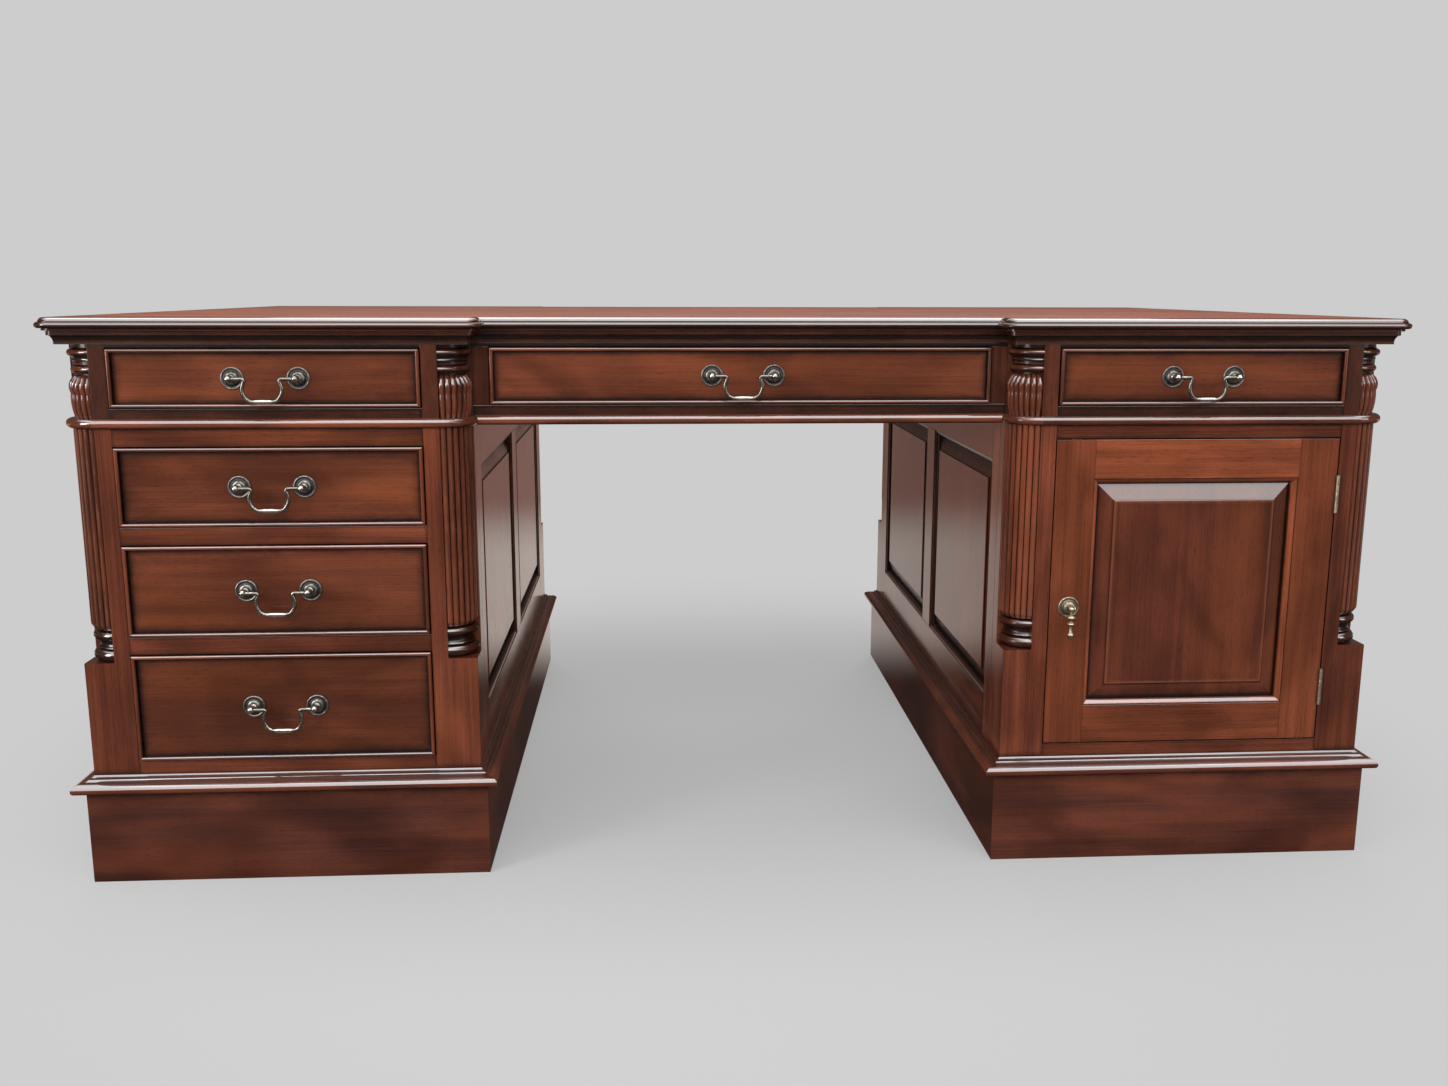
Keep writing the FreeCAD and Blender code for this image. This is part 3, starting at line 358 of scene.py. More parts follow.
    def stacked(self, centre: Array, half: Ends, steps: Outline, normal: Array, grain: Grain,
                tone: float | None = None) -> None:
        """Adds a stack of upright rectangles: each row is drawn in by an inset and lies at a height.

        Args:
            centre: Middle of the opening, on the face that heights count from.
            half: Half width and half height of the opening.
            steps: Inset, height along the normal and relief of each row.
            normal: Way that the stack faces.
            grain: Way of the fibres.
            tone: Tone of the board, left to chance where left out.
        """
        rows = [face_corners(centre + rise * normal, half[0] - inset, half[1] - inset, normal)
                for inset, rise, _ in steps]
        self.shell(np.stack(rows), np.array([[relief] for *_, relief in steps]), grain, tone)

    def turned(self, profile: Array, base: Array, axis: Array, count: int = 28,
               relief: Array | None = None) -> None:
        """Adds a turned piece: each profile row (radius, height) is a circle round the axis.

        Args:
            profile: Rows of radius and height.
            base: Point on the axis at no height.
            axis: Way of the axis.
            count: Points on each circle.
            relief: Relief of each row, taken from the profile's turns where left out.
        """
        first = np.cross(axis, X_WAY) if abs(axis[0]) < 0.5 else np.cross(axis, Z_WAY)
        second = np.cross(axis, first)
        angle = np.linspace(0, 2 * math.pi, count, endpoint=False)
        circle = np.cos(angle)[:, None] * first + np.sin(angle)[:, None] * second
        grid = base + np.maximum(profile[:, :1, None], POLE_RADIUS) * circle + profile[:, 1:, None] * axis
        if relief is None:
            relief = turning(profile, 0.6)
        self.shell(grid, relief[:, None], Grain(int(np.argmax(np.abs(axis)))))

    def tube(self, path: Array, radius: Array, relief: Array, count: int = 14) -> None:
        """Adds a round bar on a path in an upright plane facing Y: each row is a circle square to the path.

        Args:
            path: Path points.
            radius: Radius at each path point.
            relief: Relief at each path point.
            count: Points on each circle.
        """
        along = np.gradient(path, axis=0)
        along = along / np.linalg.norm(along, axis=1, keepdims=True)
        side = np.cross(along, Y_WAY)
        angle = np.linspace(0, 2 * math.pi, count, endpoint=False)[None, :, None]
        circle = np.cos(angle) * side[:, None] + np.sin(angle) * Y_WAY
        self.shell(path[:, None] + radius[:, None, None] * circle, relief[:, None], Grain.ALONG_X)

    def piece(self, body: str, finish: "Finish", *replaced: str, sharp: float = 0.6) -> bpy.types.Object:
        """Makes the mesh, its attributes and its object, and hangs the object on a body.

        Args:
            body: CAD body that the piece rides on.
            finish: Finish that gives the material.
            *replaced: CAD nodes that the piece stands for.
            sharp: Angle in radians past which an edge is shaded sharp.

        Returns:
            The new object.
        """
        mesh = bpy.data.meshes.new(self.name)
        mesh.from_pydata(np.concatenate(self.points).tolist(), [], self.faces)
        for label, kind, key, parts in (("grain", "FLOAT_VECTOR", "vector", self.grain),
                                        ("relief", "FLOAT", "value", self.relief),
                                        ("tone", "FLOAT", "value", self.tone)):
            values = np.concatenate(parts).astype(np.float32).ravel()
            mesh.attributes.new(label, kind, "POINT").data.foreach_set(key, values)
        draft = bmesh.new()
        draft.from_mesh(mesh)
        bmesh.ops.dissolve_degenerate(draft, dist=NO_LENGTH, edges=draft.edges)
        bmesh.ops.recalc_face_normals(draft, faces=draft.faces)
        draft.to_mesh(mesh)
        draft.free()
        mesh.polygons.foreach_set("use_smooth", np.ones(len(mesh.polygons), bool))
        mesh.set_sharp_from_angle(angle=sharp)
        mesh.materials.append(finish.material())
        piece = bpy.data.objects.new(self.name, mesh)
        bpy.context.scene.collection.objects.link(piece)
        evened = piece.modifiers.new("even_shading", "WEIGHTED_NORMAL")
        evened.keep_sharp = True
        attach(piece, body)
        if replaced:
            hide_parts(*replaced)
        LOG.info("%s: %d faces on %s", self.name, len(mesh.polygons), body)
        return piece


def put(tree: Tree, kind: str, inputs: dict | None = None, **settings: object) -> Node:
    """Adds a node, sets it and fills its inputs.

    Args:
        tree: Tree that gets the node.
        kind: Node type.
        inputs: Value, or socket to link from, by input name or number.
        **settings: Properties of the node.

    Returns:
        The node.
    """
    node = tree.nodes.new(kind)
    for key, value in settings.items():
        setattr(node, key, value)
    for key, value in (inputs or {}).items():
        if isinstance(value, Socket):
            tree.links.new(value, node.inputs[key])
        else:
            node.inputs[key].default_value = value
    return node


def maths(tree: Tree, operation: str, *values: float | Socket) -> Socket:
    """Adds a Math node on numbers or sockets and returns its output."""
    return put(tree, "ShaderNodeMath", dict(enumerate(values)), operation=operation).outputs[0]


def span(tree: Tree, value: Socket, low: float, high: float, to_low: float = 0.0,
         to_high: float = 1.0) -> Socket:
    """Adds a smooth Map Range from low and high to two other values and returns its output."""
    inputs = {"Value": value, "From Min": low, "From Max": high, "To Min": to_low, "To Max": to_high}
    return put(tree, "ShaderNodeMapRange", inputs, interpolation_type="SMOOTHSTEP").outputs[0]


def mixed(tree: Tree, share: float | Socket, first: Colour | Socket, second: Colour | Socket,
          blend: str = "MIX") -> Socket:
    """Adds a colour Mix of two colours or sockets and returns its output."""
    inputs = {0: share, 6: first, 7: second}
    return put(tree, "ShaderNodeMix", inputs, data_type="RGBA", blend_type=blend).outputs[2]


def noise(tree: Tree, place: Socket, cycles: Place, detail: float = 3.0, distortion: float = 0.0) -> Socket:
    """Adds noise on a place that is stretched by its own factor on each axis.

    Args:
        tree: Tree that gets the nodes.
        place: Place in metres.
        cycles: Cycles per metre on each axis.
        detail: Octaves of finer noise.
        distortion: How far the noise is bent by itself.

    Returns:
        The noise from 0 to 1.
    """
    moved = put(tree, "ShaderNodeVectorMath", {0: place, 1: cycles}, operation="MULTIPLY").outputs[0]
    inputs = {"Vector": moved, "Scale": 1.0, "Detail": detail, "Roughness": 0.6, "Distortion": distortion}
    return put(tree, "ShaderNodeTexNoise", inputs).outputs["Fac"]


class EffectGroups:
    """Shader node groups that the finishes share, each built once."""

    def __init__(self) -> None:
        """Starts with no group."""
        self.made: dict[str, Tree] = {}

    def open(self, name: str, inputs: dict[str, str], outputs: Sequence[str]) -> tuple[Tree, Node, Node]:
        """Starts a group with named sockets.

        Args:
            name: Name of the group.
            inputs: Kind of socket, Float or Vector, by name.
            outputs: Names of the value outputs.

        Returns:
            The tree, its input node and its output node.
        """
        tree = bpy.data.node_groups.new(name, "ShaderNodeTree")
        for label, kind in inputs.items():
            tree.interface.new_socket(name=label, in_out="INPUT", socket_type="NodeSocket" + kind)
        for label in outputs:
            tree.interface.new_socket(name=label, in_out="OUTPUT", socket_type="NodeSocketFloat")
        self.made[name] = tree
        return tree, tree.nodes.new("NodeGroupInput"), tree.nodes.new("NodeGroupOutput")

    def close(self, tree: Tree, end: Node, **values: Socket) -> None:
        """Links the values to the group's outputs of the same names."""
        for label, value in values.items():
            tree.links.new(value, end.inputs[label])

    def fibres(self) -> Tree:
        """Fibres, bands, pores, figure and clouding of mahogany, as noise drawn out along the grain.

        Returns:
            The group.
        """
        if "mahogany_fibres" not in self.made:
            outputs = ("Fibre", "Band", "Pore", "Figure", "Cloud")
            tree, start, end = self.open("mahogany_fibres", {"Grain": "Vector"}, outputs)
            place = start.outputs["Grain"]
            self.close(tree, end, Fibre=noise(tree, place, (7, 520, 520), 3.0),
                       Band=noise(tree, place, (1.3, 52, 52), 4.0, 0.4),
                       Pore=span(tree, noise(tree, place, (75, 1900, 1900), 1.0), 0.60, 0.72),
                       Figure=noise(tree, place, (2.2, 12, 12), 2.0, 0.8),
                       Cloud=noise(tree, place, (4.5, 9, 9), 2.0, 0.5))
        return self.made["mahogany_fibres"]

    def glaze_and_shade(self) -> Tree:
        """Masks of dark glaze and painted shade in crevices and on faces that look down, and of wear and a
        painted highlight on arrises.

        Both are broken up by noise.

        Returns:
            The group.
        """
        if "glaze_and_wear" not in self.made:
            inputs = {"Relief": "Float", "Grain": "Vector"}
            tree, start, end = self.open("glaze_and_wear", inputs, ("Glaze", "Wear"))
            relief, place = start.outputs["Relief"], start.outputs["Grain"]
            mottle = maths(tree, "SUBTRACT", noise(tree, place, (38, 90, 90), 3.0), 0.5)
            glaze_and_shade_depth = maths(tree, "MULTIPLY_ADD", relief, -1.0, maths(tree, "MULTIPLY", mottle, 0.5))
            normal = put(tree, "ShaderNodeTexCoord").outputs["Normal"]
            level = put(tree, "ShaderNodeSeparateXYZ", {0: normal}).outputs[2]
            # Painted shade: faces that look down get more of the dark mask.
            glaze_and_shade_depth = maths(tree, "ADD", glaze_and_shade_depth, span(tree, level, -0.50, -0.08, 0.55, 0.0))
            # Arrises get the lighter mask: wear, and a painted highlight.
            arris = maths(tree, "MULTIPLY_ADD", mottle, 1.6, relief)
            self.close(tree, end, Glaze=span(tree, glaze_and_shade_depth, 0.0, 1.0), Wear=span(tree, arris, 0.45, 1.2))
        return self.made["glaze_and_wear"]

    def polish(self) -> Tree:
        """Roughness, painted highlight and height of a hand-rubbed polish.

        The highlight is painted as coat weight: on faces that look up and on rubbed arrises, less of it at
        the ends of the desk, and painted shade takes it away in the kneehole and in deep crevices. The height
        has open pores, fibre lines and a slow ripple.

        Returns:
            The group.
        """
        if "rubbed_polish" not in self.made:
            inputs = {"Grain": "Vector"}
            inputs.update(dict.fromkeys(("Relief", "Fibre", "Pore", "Glaze", "Gloss"), "Float"))
            tree, start, end = self.open("rubbed_polish", inputs, ("Roughness", "Sheen", "Height"))
            piece = put(tree, "ShaderNodeTexCoord").outputs
            facing = put(tree, "ShaderNodeSeparateXYZ", {0: piece["Normal"]}).outputs
            along = put(tree, "ShaderNodeSeparateXYZ", {0: piece["Object"]}).outputs[0]
            # Painted highlight: coat weight on faces that look up, less on faces turned to the ends.
            sideways = span(tree, maths(tree, "ABSOLUTE", facing[0]), 0.45, 0.80, 1.0, 0.2)
            # Painted shade: next to no coat weight on faces that look into the kneehole.
            kneehole_shade = span(tree, maths(tree, "MULTIPLY", along, facing[0]), -0.22, -0.05, 0.04, 1.0)
            upward_highlight = maths(tree, "MULTIPLY", span(tree, facing[2], 0.05, 0.32), sideways)
            relief = start.outputs["Relief"]
            painted_sheen = maths(tree, "MAXIMUM", upward_highlight, span(tree, relief, 0.30, 0.90, 0.0, 0.55))
            painted_sheen = maths(tree, "MULTIPLY", painted_sheen, kneehole_shade)
            # Painted shade: deep crevices lose the coat weight.
            painted_sheen = maths(tree, "MULTIPLY", painted_sheen, span(tree, relief, -1.25, -1.05))
            place = start.outputs["Grain"]
            smears = maths(tree, "MULTIPLY_ADD", noise(tree, place, (6, 22, 22), 3.0), 0.16, -0.08)
            rough = maths(tree, "ADD", start.outputs["Gloss"], smears)
            rough = maths(tree, "MULTIPLY_ADD", start.outputs["Glaze"], 0.14, rough)
            rough = maths(tree, "MULTIPLY_ADD", start.outputs["Pore"], 0.12, rough)
            ripple = maths(tree, "MULTIPLY", noise(tree, place, (14, 30, 30), 1.0), 0.6)
            height = maths(tree, "MULTIPLY_ADD", start.outputs["Fibre"], 0.12, ripple)
            height = maths(tree, "MULTIPLY_ADD", start.outputs["Pore"], -0.22, height)
            self.close(tree, end, Roughness=rough, Sheen=painted_sheen, Height=height)
        return self.made["rubbed_polish"]

    def patina(self) -> Tree:
        """Mask of bright metal through dark patina, rubbed on raised parts and painted as a highlight where a
        piece's relief is set high, with its roughness and cast skin.

        Returns:
            The group.
        """
        if "metal_patina" not in self.made:
            inputs = {"Relief": "Float", "Place": "Vector", "Gloss": "Float"}
            tree, start, end = self.open("metal_patina", inputs, ("Bright", "Roughness", "Height"))
            place = start.outputs["Place"]
            cloud = noise(tree, place, (260, 260, 260), 4.0)
            raised = maths(tree, "MULTIPLY_ADD", start.outputs["Relief"], 0.30, cloud)
            bright = span(tree, raised, 0.42, 0.95)
            rough = maths(tree, "MULTIPLY_ADD", bright, -0.10, start.outputs["Gloss"])
            rough = maths(tree, "MULTIPLY_ADD", cloud, 0.12, rough)
            skin = noise(tree, place, (900, 900, 900), 2.0)
            self.close(tree, end, Bright=bright, Roughness=rough, Height=skin)
        return self.made["metal_patina"]


GROUPS = EffectGroups()
MATERIALS: dict[str, bpy.types.Material] = {}


@dataclass(frozen=True)
class Finish:
    """A finish: a named material on one of the record's slots."""

    name: str
    slot: str

    def material(self) -> bpy.types.Material:
        """Builds the finish's material on first use.

        Returns:
            The material.
        """
        if self.name not in MATERIALS:
            made = bpy.data.materials.new(self.name)
            made.use_nodes = True
            MATERIALS[self.name] = made
            self.dress(made.node_tree, made.node_tree.nodes["Principled BSDF"])
        return MATERIALS[self.name]

    def dress(self, tree: Tree, shader: Node) -> None:
        """Adds the nodes that feed the shader."""
        raise NotImplementedError

    @staticmethod
    def attribute(tree: Tree, label: str) -> Node:
        """Adds a node that reads one of the piece's attributes."""
        return put(tree, "ShaderNodeAttribute", attribute_name=label, attribute_type="GEOMETRY")

    @staticmethod
    def bump(tree: Tree, shader: Node, height: Socket, depth: float) -> None:
        """Links a height to the shader's normal through a Bump of the given depth in metres."""
        inputs = {"Height": height, "Strength": 0.6, "Distance": depth}
        tree.links.new(put(tree, "ShaderNodeBump", inputs).outputs[0], shader.inputs["Normal"])


@dataclass(frozen=True)
class WoodFinish(Finish):
    """Polished mahogany: dark and light fibres, figure, glaze and painted shade in crevices, and worn arrises
    with a painted highlight.
    """

    deep: Colour = (0.064, 0.0170, 0.0095, 1.0)
    light: Colour = (0.150, 0.0395, 0.0190, 1.0)
    flame: Colour = (0.190, 0.0490, 0.0150, 1.0)
    # Dark colour of pores and glaze, also laid as painted shade.
    glaze_and_shade: Colour = (0.0060, 0.0024, 0.0017, 1.0)
    # Lighter worn colour, also laid as a painted highlight on arrises.
    worn_and_lit: Colour = (0.200, 0.0600, 0.0220, 1.0)
    figure: float = 0.35
    cloud: float = 0.62
    pores: float = 0.55
    glaze_and_shade_share: float = 0.95
    wear_and_highlight: float = 0.40
    gloss: float = 0.13
    shine: float = 0.30
    coat: float = 0.95
    coat_roughness: float = 0.10
    coat_ior: float = 2.2
    plank: float = 0.0
    bump_depth: float = 0.00010

    def tone(self, tree: Tree, grain: Socket) -> Socket:
        """Tone of each board, or of each plank across the grain where the finish has a plank width.

        Args:
            tree: Material's tree.
            grain: Place in the wood.

        Returns:
            Socket from 0 to 1.
        """
        if not self.plank:
            return self.attribute(tree, "tone").outputs["Fac"]
        across = put(tree, "ShaderNodeSeparateXYZ", {0: grain}).outputs[1]
        number = maths(tree, "FLOOR", maths(tree, "DIVIDE", across, self.plank))
        return put(tree, "ShaderNodeTexWhiteNoise", {"W": number}, noise_dimensions="1D").outputs["Value"]

    def dress(self, tree: Tree, shader: Node) -> None:
        """Mixes fibre, band and figure colours, then tone, pores, glaze with painted shade, and wear with a
        painted highlight over them.

        Args:
            tree: Material's tree.
            shader: Principled shader that they feed.
        """
        grain = self.attribute(tree, "grain").outputs["Vector"]
        relief = self.attribute(tree, "relief").outputs["Fac"]
        tone = self.tone(tree, grain)
        fibre = put(tree, "ShaderNodeGroup", node_tree=GROUPS.fibres())
        tree.links.new(grain, fibre.inputs["Grain"])
        masks = put(tree, "ShaderNodeGroup", node_tree=GROUPS.glaze_and_shade())
        tree.links.new(relief, masks.inputs["Relief"])
        tree.links.new(grain, masks.inputs["Grain"])
        streak = maths(tree, "MULTIPLY_ADD", fibre.outputs["Fibre"], 0.45,
                       maths(tree, "MULTIPLY", fibre.outputs["Band"], 0.55))
        colour = mixed(tree, span(tree, streak, 0.33, 0.68), self.deep, self.light)
        flames = span(tree, fibre.outputs["Figure"], 0.40, 0.75, 0.0, self.figure)
        colour = mixed(tree, flames, colour, self.flame)
        shade = maths(tree, "MULTIPLY", span(tree, tone, 0.0, 1.0, 0.72, 1.28),
                      span(tree, fibre.outputs["Cloud"], 0.32, 0.66, self.cloud, 1.16))
        grey = put(tree, "ShaderNodeCombineColor", {0: shade, 1: shade, 2: shade}).outputs[0]
        colour = mixed(tree, 1.0, colour, grey, "MULTIPLY")
        # Pores are the wood's own; the wear mask is also a painted highlight and the glaze mask also painted
        # shade.
        for mask, share, over in ((fibre.outputs["Pore"], self.pores, self.glaze_and_shade),
                                  (masks.outputs["Wear"], self.wear_and_highlight, self.worn_and_lit),
                                  (masks.outputs["Glaze"], self.glaze_and_shade_share, self.glaze_and_shade)):
            colour = mixed(tree, maths(tree, "MULTIPLY", mask, share), colour, over)
        tree.links.new(colour, shader.inputs["Base Color"])
        rubbed = put(tree, "ShaderNodeGroup", {"Gloss": self.gloss}, node_tree=GROUPS.polish())
        for label, value in (("Grain", grain), ("Relief", relief), ("Fibre", fibre.outputs["Fibre"]),
                             ("Pore", fibre.outputs["Pore"]), ("Glaze", masks.outputs["Glaze"])):
            tree.links.new(value, rubbed.inputs[label])
        tree.links.new(rubbed.outputs["Roughness"], shader.inputs["Roughness"])
        self.bump(tree, shader, rubbed.outputs["Height"], self.bump_depth)
        # Coat weight follows the painted highlight mask.
        if self.coat:
            painted_sheen = maths(tree, "MULTIPLY", rubbed.outputs["Sheen"], self.coat)
            tree.links.new(painted_sheen, shader.inputs["Coat Weight"])
            shader.inputs["Coat Roughness"].default_value = self.coat_roughness
            shader.inputs["Coat IOR"].default_value = self.coat_ior
        shader.inputs["Specular IOR Level"].default_value = self.shine


@dataclass(frozen=True)
class MetalFinish(Finish):
    """Cast metal with a dark patina, rubbed bright where hands reach it, and painted brighter as a highlight
    where a piece's relief is set high.
    """

    dark: Colour = (0.050, 0.046, 0.042, 1.0)
    bright: Colour = (0.42, 0.37, 0.31, 1.0)
    gloss: float = 0.30
    bump_depth: float = 0.00006

    def dress(self, tree: Tree, shader: Node) -> None:
        """Mixes bright metal into the patina on its raised parts.

        Args:
            tree: Material's tree.
            shader: Principled shader that they feed.
        """
        place = put(tree, "ShaderNodeTexCoord").outputs["Object"]
        relief = self.attribute(tree, "relief").outputs["Fac"]
        skin = put(tree, "ShaderNodeGroup", {"Gloss": self.gloss}, node_tree=GROUPS.patina())
        tree.links.new(relief, skin.inputs["Relief"])
        tree.links.new(place, skin.inputs["Place"])
        colour = mixed(tree, skin.outputs["Bright"], self.dark, self.bright)
        tree.links.new(colour, shader.inputs["Base Color"])
        tree.links.new(skin.outputs["Roughness"], shader.inputs["Roughness"])
        self.bump(tree, shader, skin.outputs["Height"], self.bump_depth)
        shader.inputs["Metallic"].default_value = 1.0


CASE = WoodFinish("polished_mahogany_case", "mahogany")
FIELD = WoodFinish("polished_mahogany_drawer_front", "mahogany", deep=(0.076, 0.0205, 0.0105, 1.0),
                   light=(0.124, 0.0335, 0.0150, 1.0), flame=(0.185, 0.0490, 0.0155, 1.0), figure=0.55)
PANEL = WoodFinish("polished_mahogany_panel", "mahogany", deep=(0.064, 0.0170, 0.0090, 1.0),
                   light=(0.098, 0.0255, 0.0125, 1.0), figure=0.25, coat=0.58)
SIDE = WoodFinish("polished_mahogany_side_panel", "mahogany", deep=(0.070, 0.0165, 0.0070, 1.0),
                  light=(0.120, 0.0290, 0.0115, 1.0), figure=0.25, gloss=0.10, coat=0.12)
DOOR = WoodFinish("polished_mahogany_door", "mahogany", deep=(0.134, 0.0335, 0.0145, 1.0),
                  light=(0.240, 0.0625, 0.0250, 1.0), figure=0.2)
PLINTH = WoodFinish("polished_mahogany_plinth", "mahogany", deep=(0.046, 0.0165, 0.0118, 1.0),
                    light=(0.096, 0.0280, 0.0170, 1.0), flame=(0.125, 0.0330, 0.0160, 1.0), figure=0.9,
                    gloss=0.06)
TOP = WoodFinish("rubbed_mahogany_top", "mahogany", deep=(0.110, 0.0275, 0.0120, 1.0),
                 light=(0.184, 0.0530, 0.0250, 1.0), flame=(0.194, 0.0600, 0.0285, 1.0), cloud=0.78,
                 gloss=0.50, shine=0.15, coat=0.0, plank=0.137)
INNER = WoodFinish("waxed_case_wood", "case_wood", deep=(0.120, 0.056, 0.028, 1.0),
                   light=(0.260, 0.140, 0.075, 1.0), flame=(0.240, 0.120, 0.060, 1.0),
                   glaze_and_shade=(0.045, 0.022, 0.012, 1.0), worn_and_lit=(0.30, 0.17, 0.10, 1.0), figure=0.3, glaze_and_shade_share=0.6,
                   gloss=0.52, coat=0.0)
BRONZE = MetalFinish("antiqued_bronze", "aged_bronze", dark=(0.056, 0.053, 0.050, 1.0),
                     bright=(0.34, 0.315, 0.285, 1.0), gloss=0.38)
RUBBED = MetalFinish("rubbed_bronze", "aged_bronze", dark=(0.17, 0.155, 0.13, 1.0),
                     bright=(0.64, 0.60, 0.53, 1.0), gloss=0.22)
BRASS = MetalFinish("antiqued_brass", "aged_brass", dark=(0.180, 0.146, 0.098, 1.0),
                    bright=(0.57, 0.495, 0.36, 1.0), gloss=0.42)


@dataclass(frozen=True)
class OutlineEdge:
    """One edge of the frieze's outline, and whether its ends are outer corners."""

    start: Array
    end: Array
    outward: Array
    outer_start: bool
    outer_end: bool


def breakfront(z: float) -> list[OutlineEdge]:
    """Edges of the frieze's outline, counter-clockwise from the front left.

    Args:
        z: Height of the outline.

    Returns:
        Its twelve edges.
    """
    s = SIZES
    half = np.array([[-s.outer, s.front], [-s.half_knee, s.front], [-s.half_knee, s.centre_face],
                     [s.half_knee, s.centre_face], [s.half_knee, s.front], [s.outer, s.front]])
    corners = np.column_stack([np.concatenate([half, -half]), np.full(2 * len(half), z)])
    along = np.roll(corners, -1, axis=0) - corners
    along = along / np.linalg.norm(along, axis=1, keepdims=True)
    outer = np.cross(np.roll(along, 1, axis=0), along)[:, 2] > 0
    return [OutlineEdge(*edge) for edge in zip(corners, np.roll(corners, -1, axis=0), np.cross(along, Z_WAY),
                                               outer, np.roll(outer, -1))]


def fan(outward: Array, first: float, last: float, steps: int = 6) -> Array:
    """Outward ways turned about Z from one angle to another.

    Args:
        outward: Level way at no turn.
        first: First angle in degrees.
        last: Last angle in degrees.
        steps: Number of ways.

    Returns:
        One row for each step.
    """
    angle = np.radians(np.linspace(first, last, steps))
    side = np.cross(Z_WAY, outward)
    return np.cos(angle)[:, None] * outward + np.sin(angle)[:, None] * side


@dataclass(frozen=True)
class TopAndCornice:
    """Top board with its moulded edge, and the cornice under it."""

    overhang: float = 0.022
    soffit: float = 0.014
    fillet: float = 0.003
    bullnose: float = 0.008
    quirk: float = 0.0007
    flat: float = 0.0105
    cap: float = 0.004
    thickness: float = 0.017
    cornice_height: float = 0.018
    cornice_fillet: float = 0.006
    cornice_reach: float = 0.009
    cornice_step: float = 0.002
    cornice_foot: float = 0.0015
    cornice_tongue: float = 0.004
    cove_bow: float = -0.17
    margin: float = 0.001
    quirk_band: float = 0.0015
    # Relief taken off the top's lower edge and the cornice's fillet and cove: painted shade under the
    # overhang.
    edge_under_shade: float = 0.75
    cove_under_shade: float = 0.35
    fillet_under_shade: float = 0.68
    foot_relief: float = -1.2

    def board(self) -> None:
        """Builds the top: its edge profile is a set of rings round the breakfront outline, capped flat."""
        seat, crown = self.overhang - self.bullnose / 2, self.fillet + self.bullnose
        profile = bowed([(self.cap, 0, 0), (self.soffit, 0, 0), (self.soffit, self.fillet, 0),
                         (seat, self.fillet, HALF_ROUND), (seat, crown, 0),
                         (seat - self.quirk, crown, QUARTER_ROUND), (self.flat, self.thickness, 0),
                         (self.cap, self.thickness, 0)], 8)
        origins, ways = [], []
        edges = breakfront(SIZES.cornice_top)
        for edge, after in zip(edges, edges[1:] + edges[:1]):
            turn = fan(edge.outward, 0, 90, 9) if edge.outer_end else (edge.outward + after.outward)[None]
            origins.append(np.repeat(edge.end[None], len(turn), axis=0))
            ways.append(turn)
        grid = (np.concatenate(origins)[None] + profile[:, None, :1] * np.concatenate(ways)[None]
                + profile[:, None, 1:] * Z_WAY)
        # Painted shade: the edge up to the bullnose's crown and the quirk are darkened by relief.
        relief = turning(profile) * 0.8 - self.edge_under_shade * (profile[:, 1] < crown + self.margin)
        relief[np.abs(profile[:, 1] - crown) < self.quirk_band] = DEEP_CREVICE
        relief[[0, -1]] = 0.0
        shape = Shape("top_board_dressed")
        shape.shell(grid, relief[:, None], Grain.ALONG_X)
        piece = shape.piece("carcass", CASE, "top_board")
        piece.data.materials.append(TOP.material())
        piece.data.polygons[-1].material_index = 1

    def cornice(self) -> None:
        """Builds the cornice's twelve lengths: rounded half-way at outer corners, mitred at inner ones."""
        cove_top, tongue = self.cornice_height - self.cornice_fillet, -self.cornice_tongue
        profile = bowed([(tongue, 0, 0), (self.cornice_foot, 0, self.cove_bow),
                         (self.cornice_reach - self.cornice_step, cove_top, 0),
                         (self.cornice_reach, cove_top, 0), (self.cornice_reach, self.cornice_height, 0),
                         (tongue, self.cornice_height, 0)], 7)
        # Painted shade: under the top's overhang the cove and fillet are darkened by relief, and the foot
        # most.
        in_cove = profile[:, 1] < cove_top - self.margin
        relief = np.minimum(turning(profile), 0.0) - np.where(in_cove, self.cove_under_shade, self.fillet_under_shade)
        relief[:2] = self.foot_relief
        edges = breakfront(SIZES.cornice_bottom)
        shape = Shape("cornice_dressed")
        for before, edge, after in zip(edges[-1:] + edges[:-1], edges, edges[1:] + edges[:1]):
            head = fan(edge.outward, -45, 0) if edge.outer_start else (edge.outward + before.outward)[None]
            tail = fan(edge.outward, 0, 45) if edge.outer_end else (edge.outward + after.outward)[None]
            origins = np.concatenate([np.repeat(edge.start[None], len(head), axis=0),
                                      np.repeat(edge.end[None], len(tail), axis=0)])
            grain = Grain.ALONG_Y if abs(edge.outward[0]) > 0.5 else Grain.ALONG_X
            shape.run(profile, origins, np.concatenate([head, tail]), Z_WAY, grain, relief)
        shape.piece("carcass", CASE, "cornice_mouldings")


def post_corners() -> list[Corner]:
    """Corner and ways into the post of the right pedestal's four posts."""
    s = SIZES
    return [(x, into_y * s.front, into_x, into_y) for x, into_x in ((s.outer, -1), (s.half_knee, 1))
            for into_y in (1, -1)]


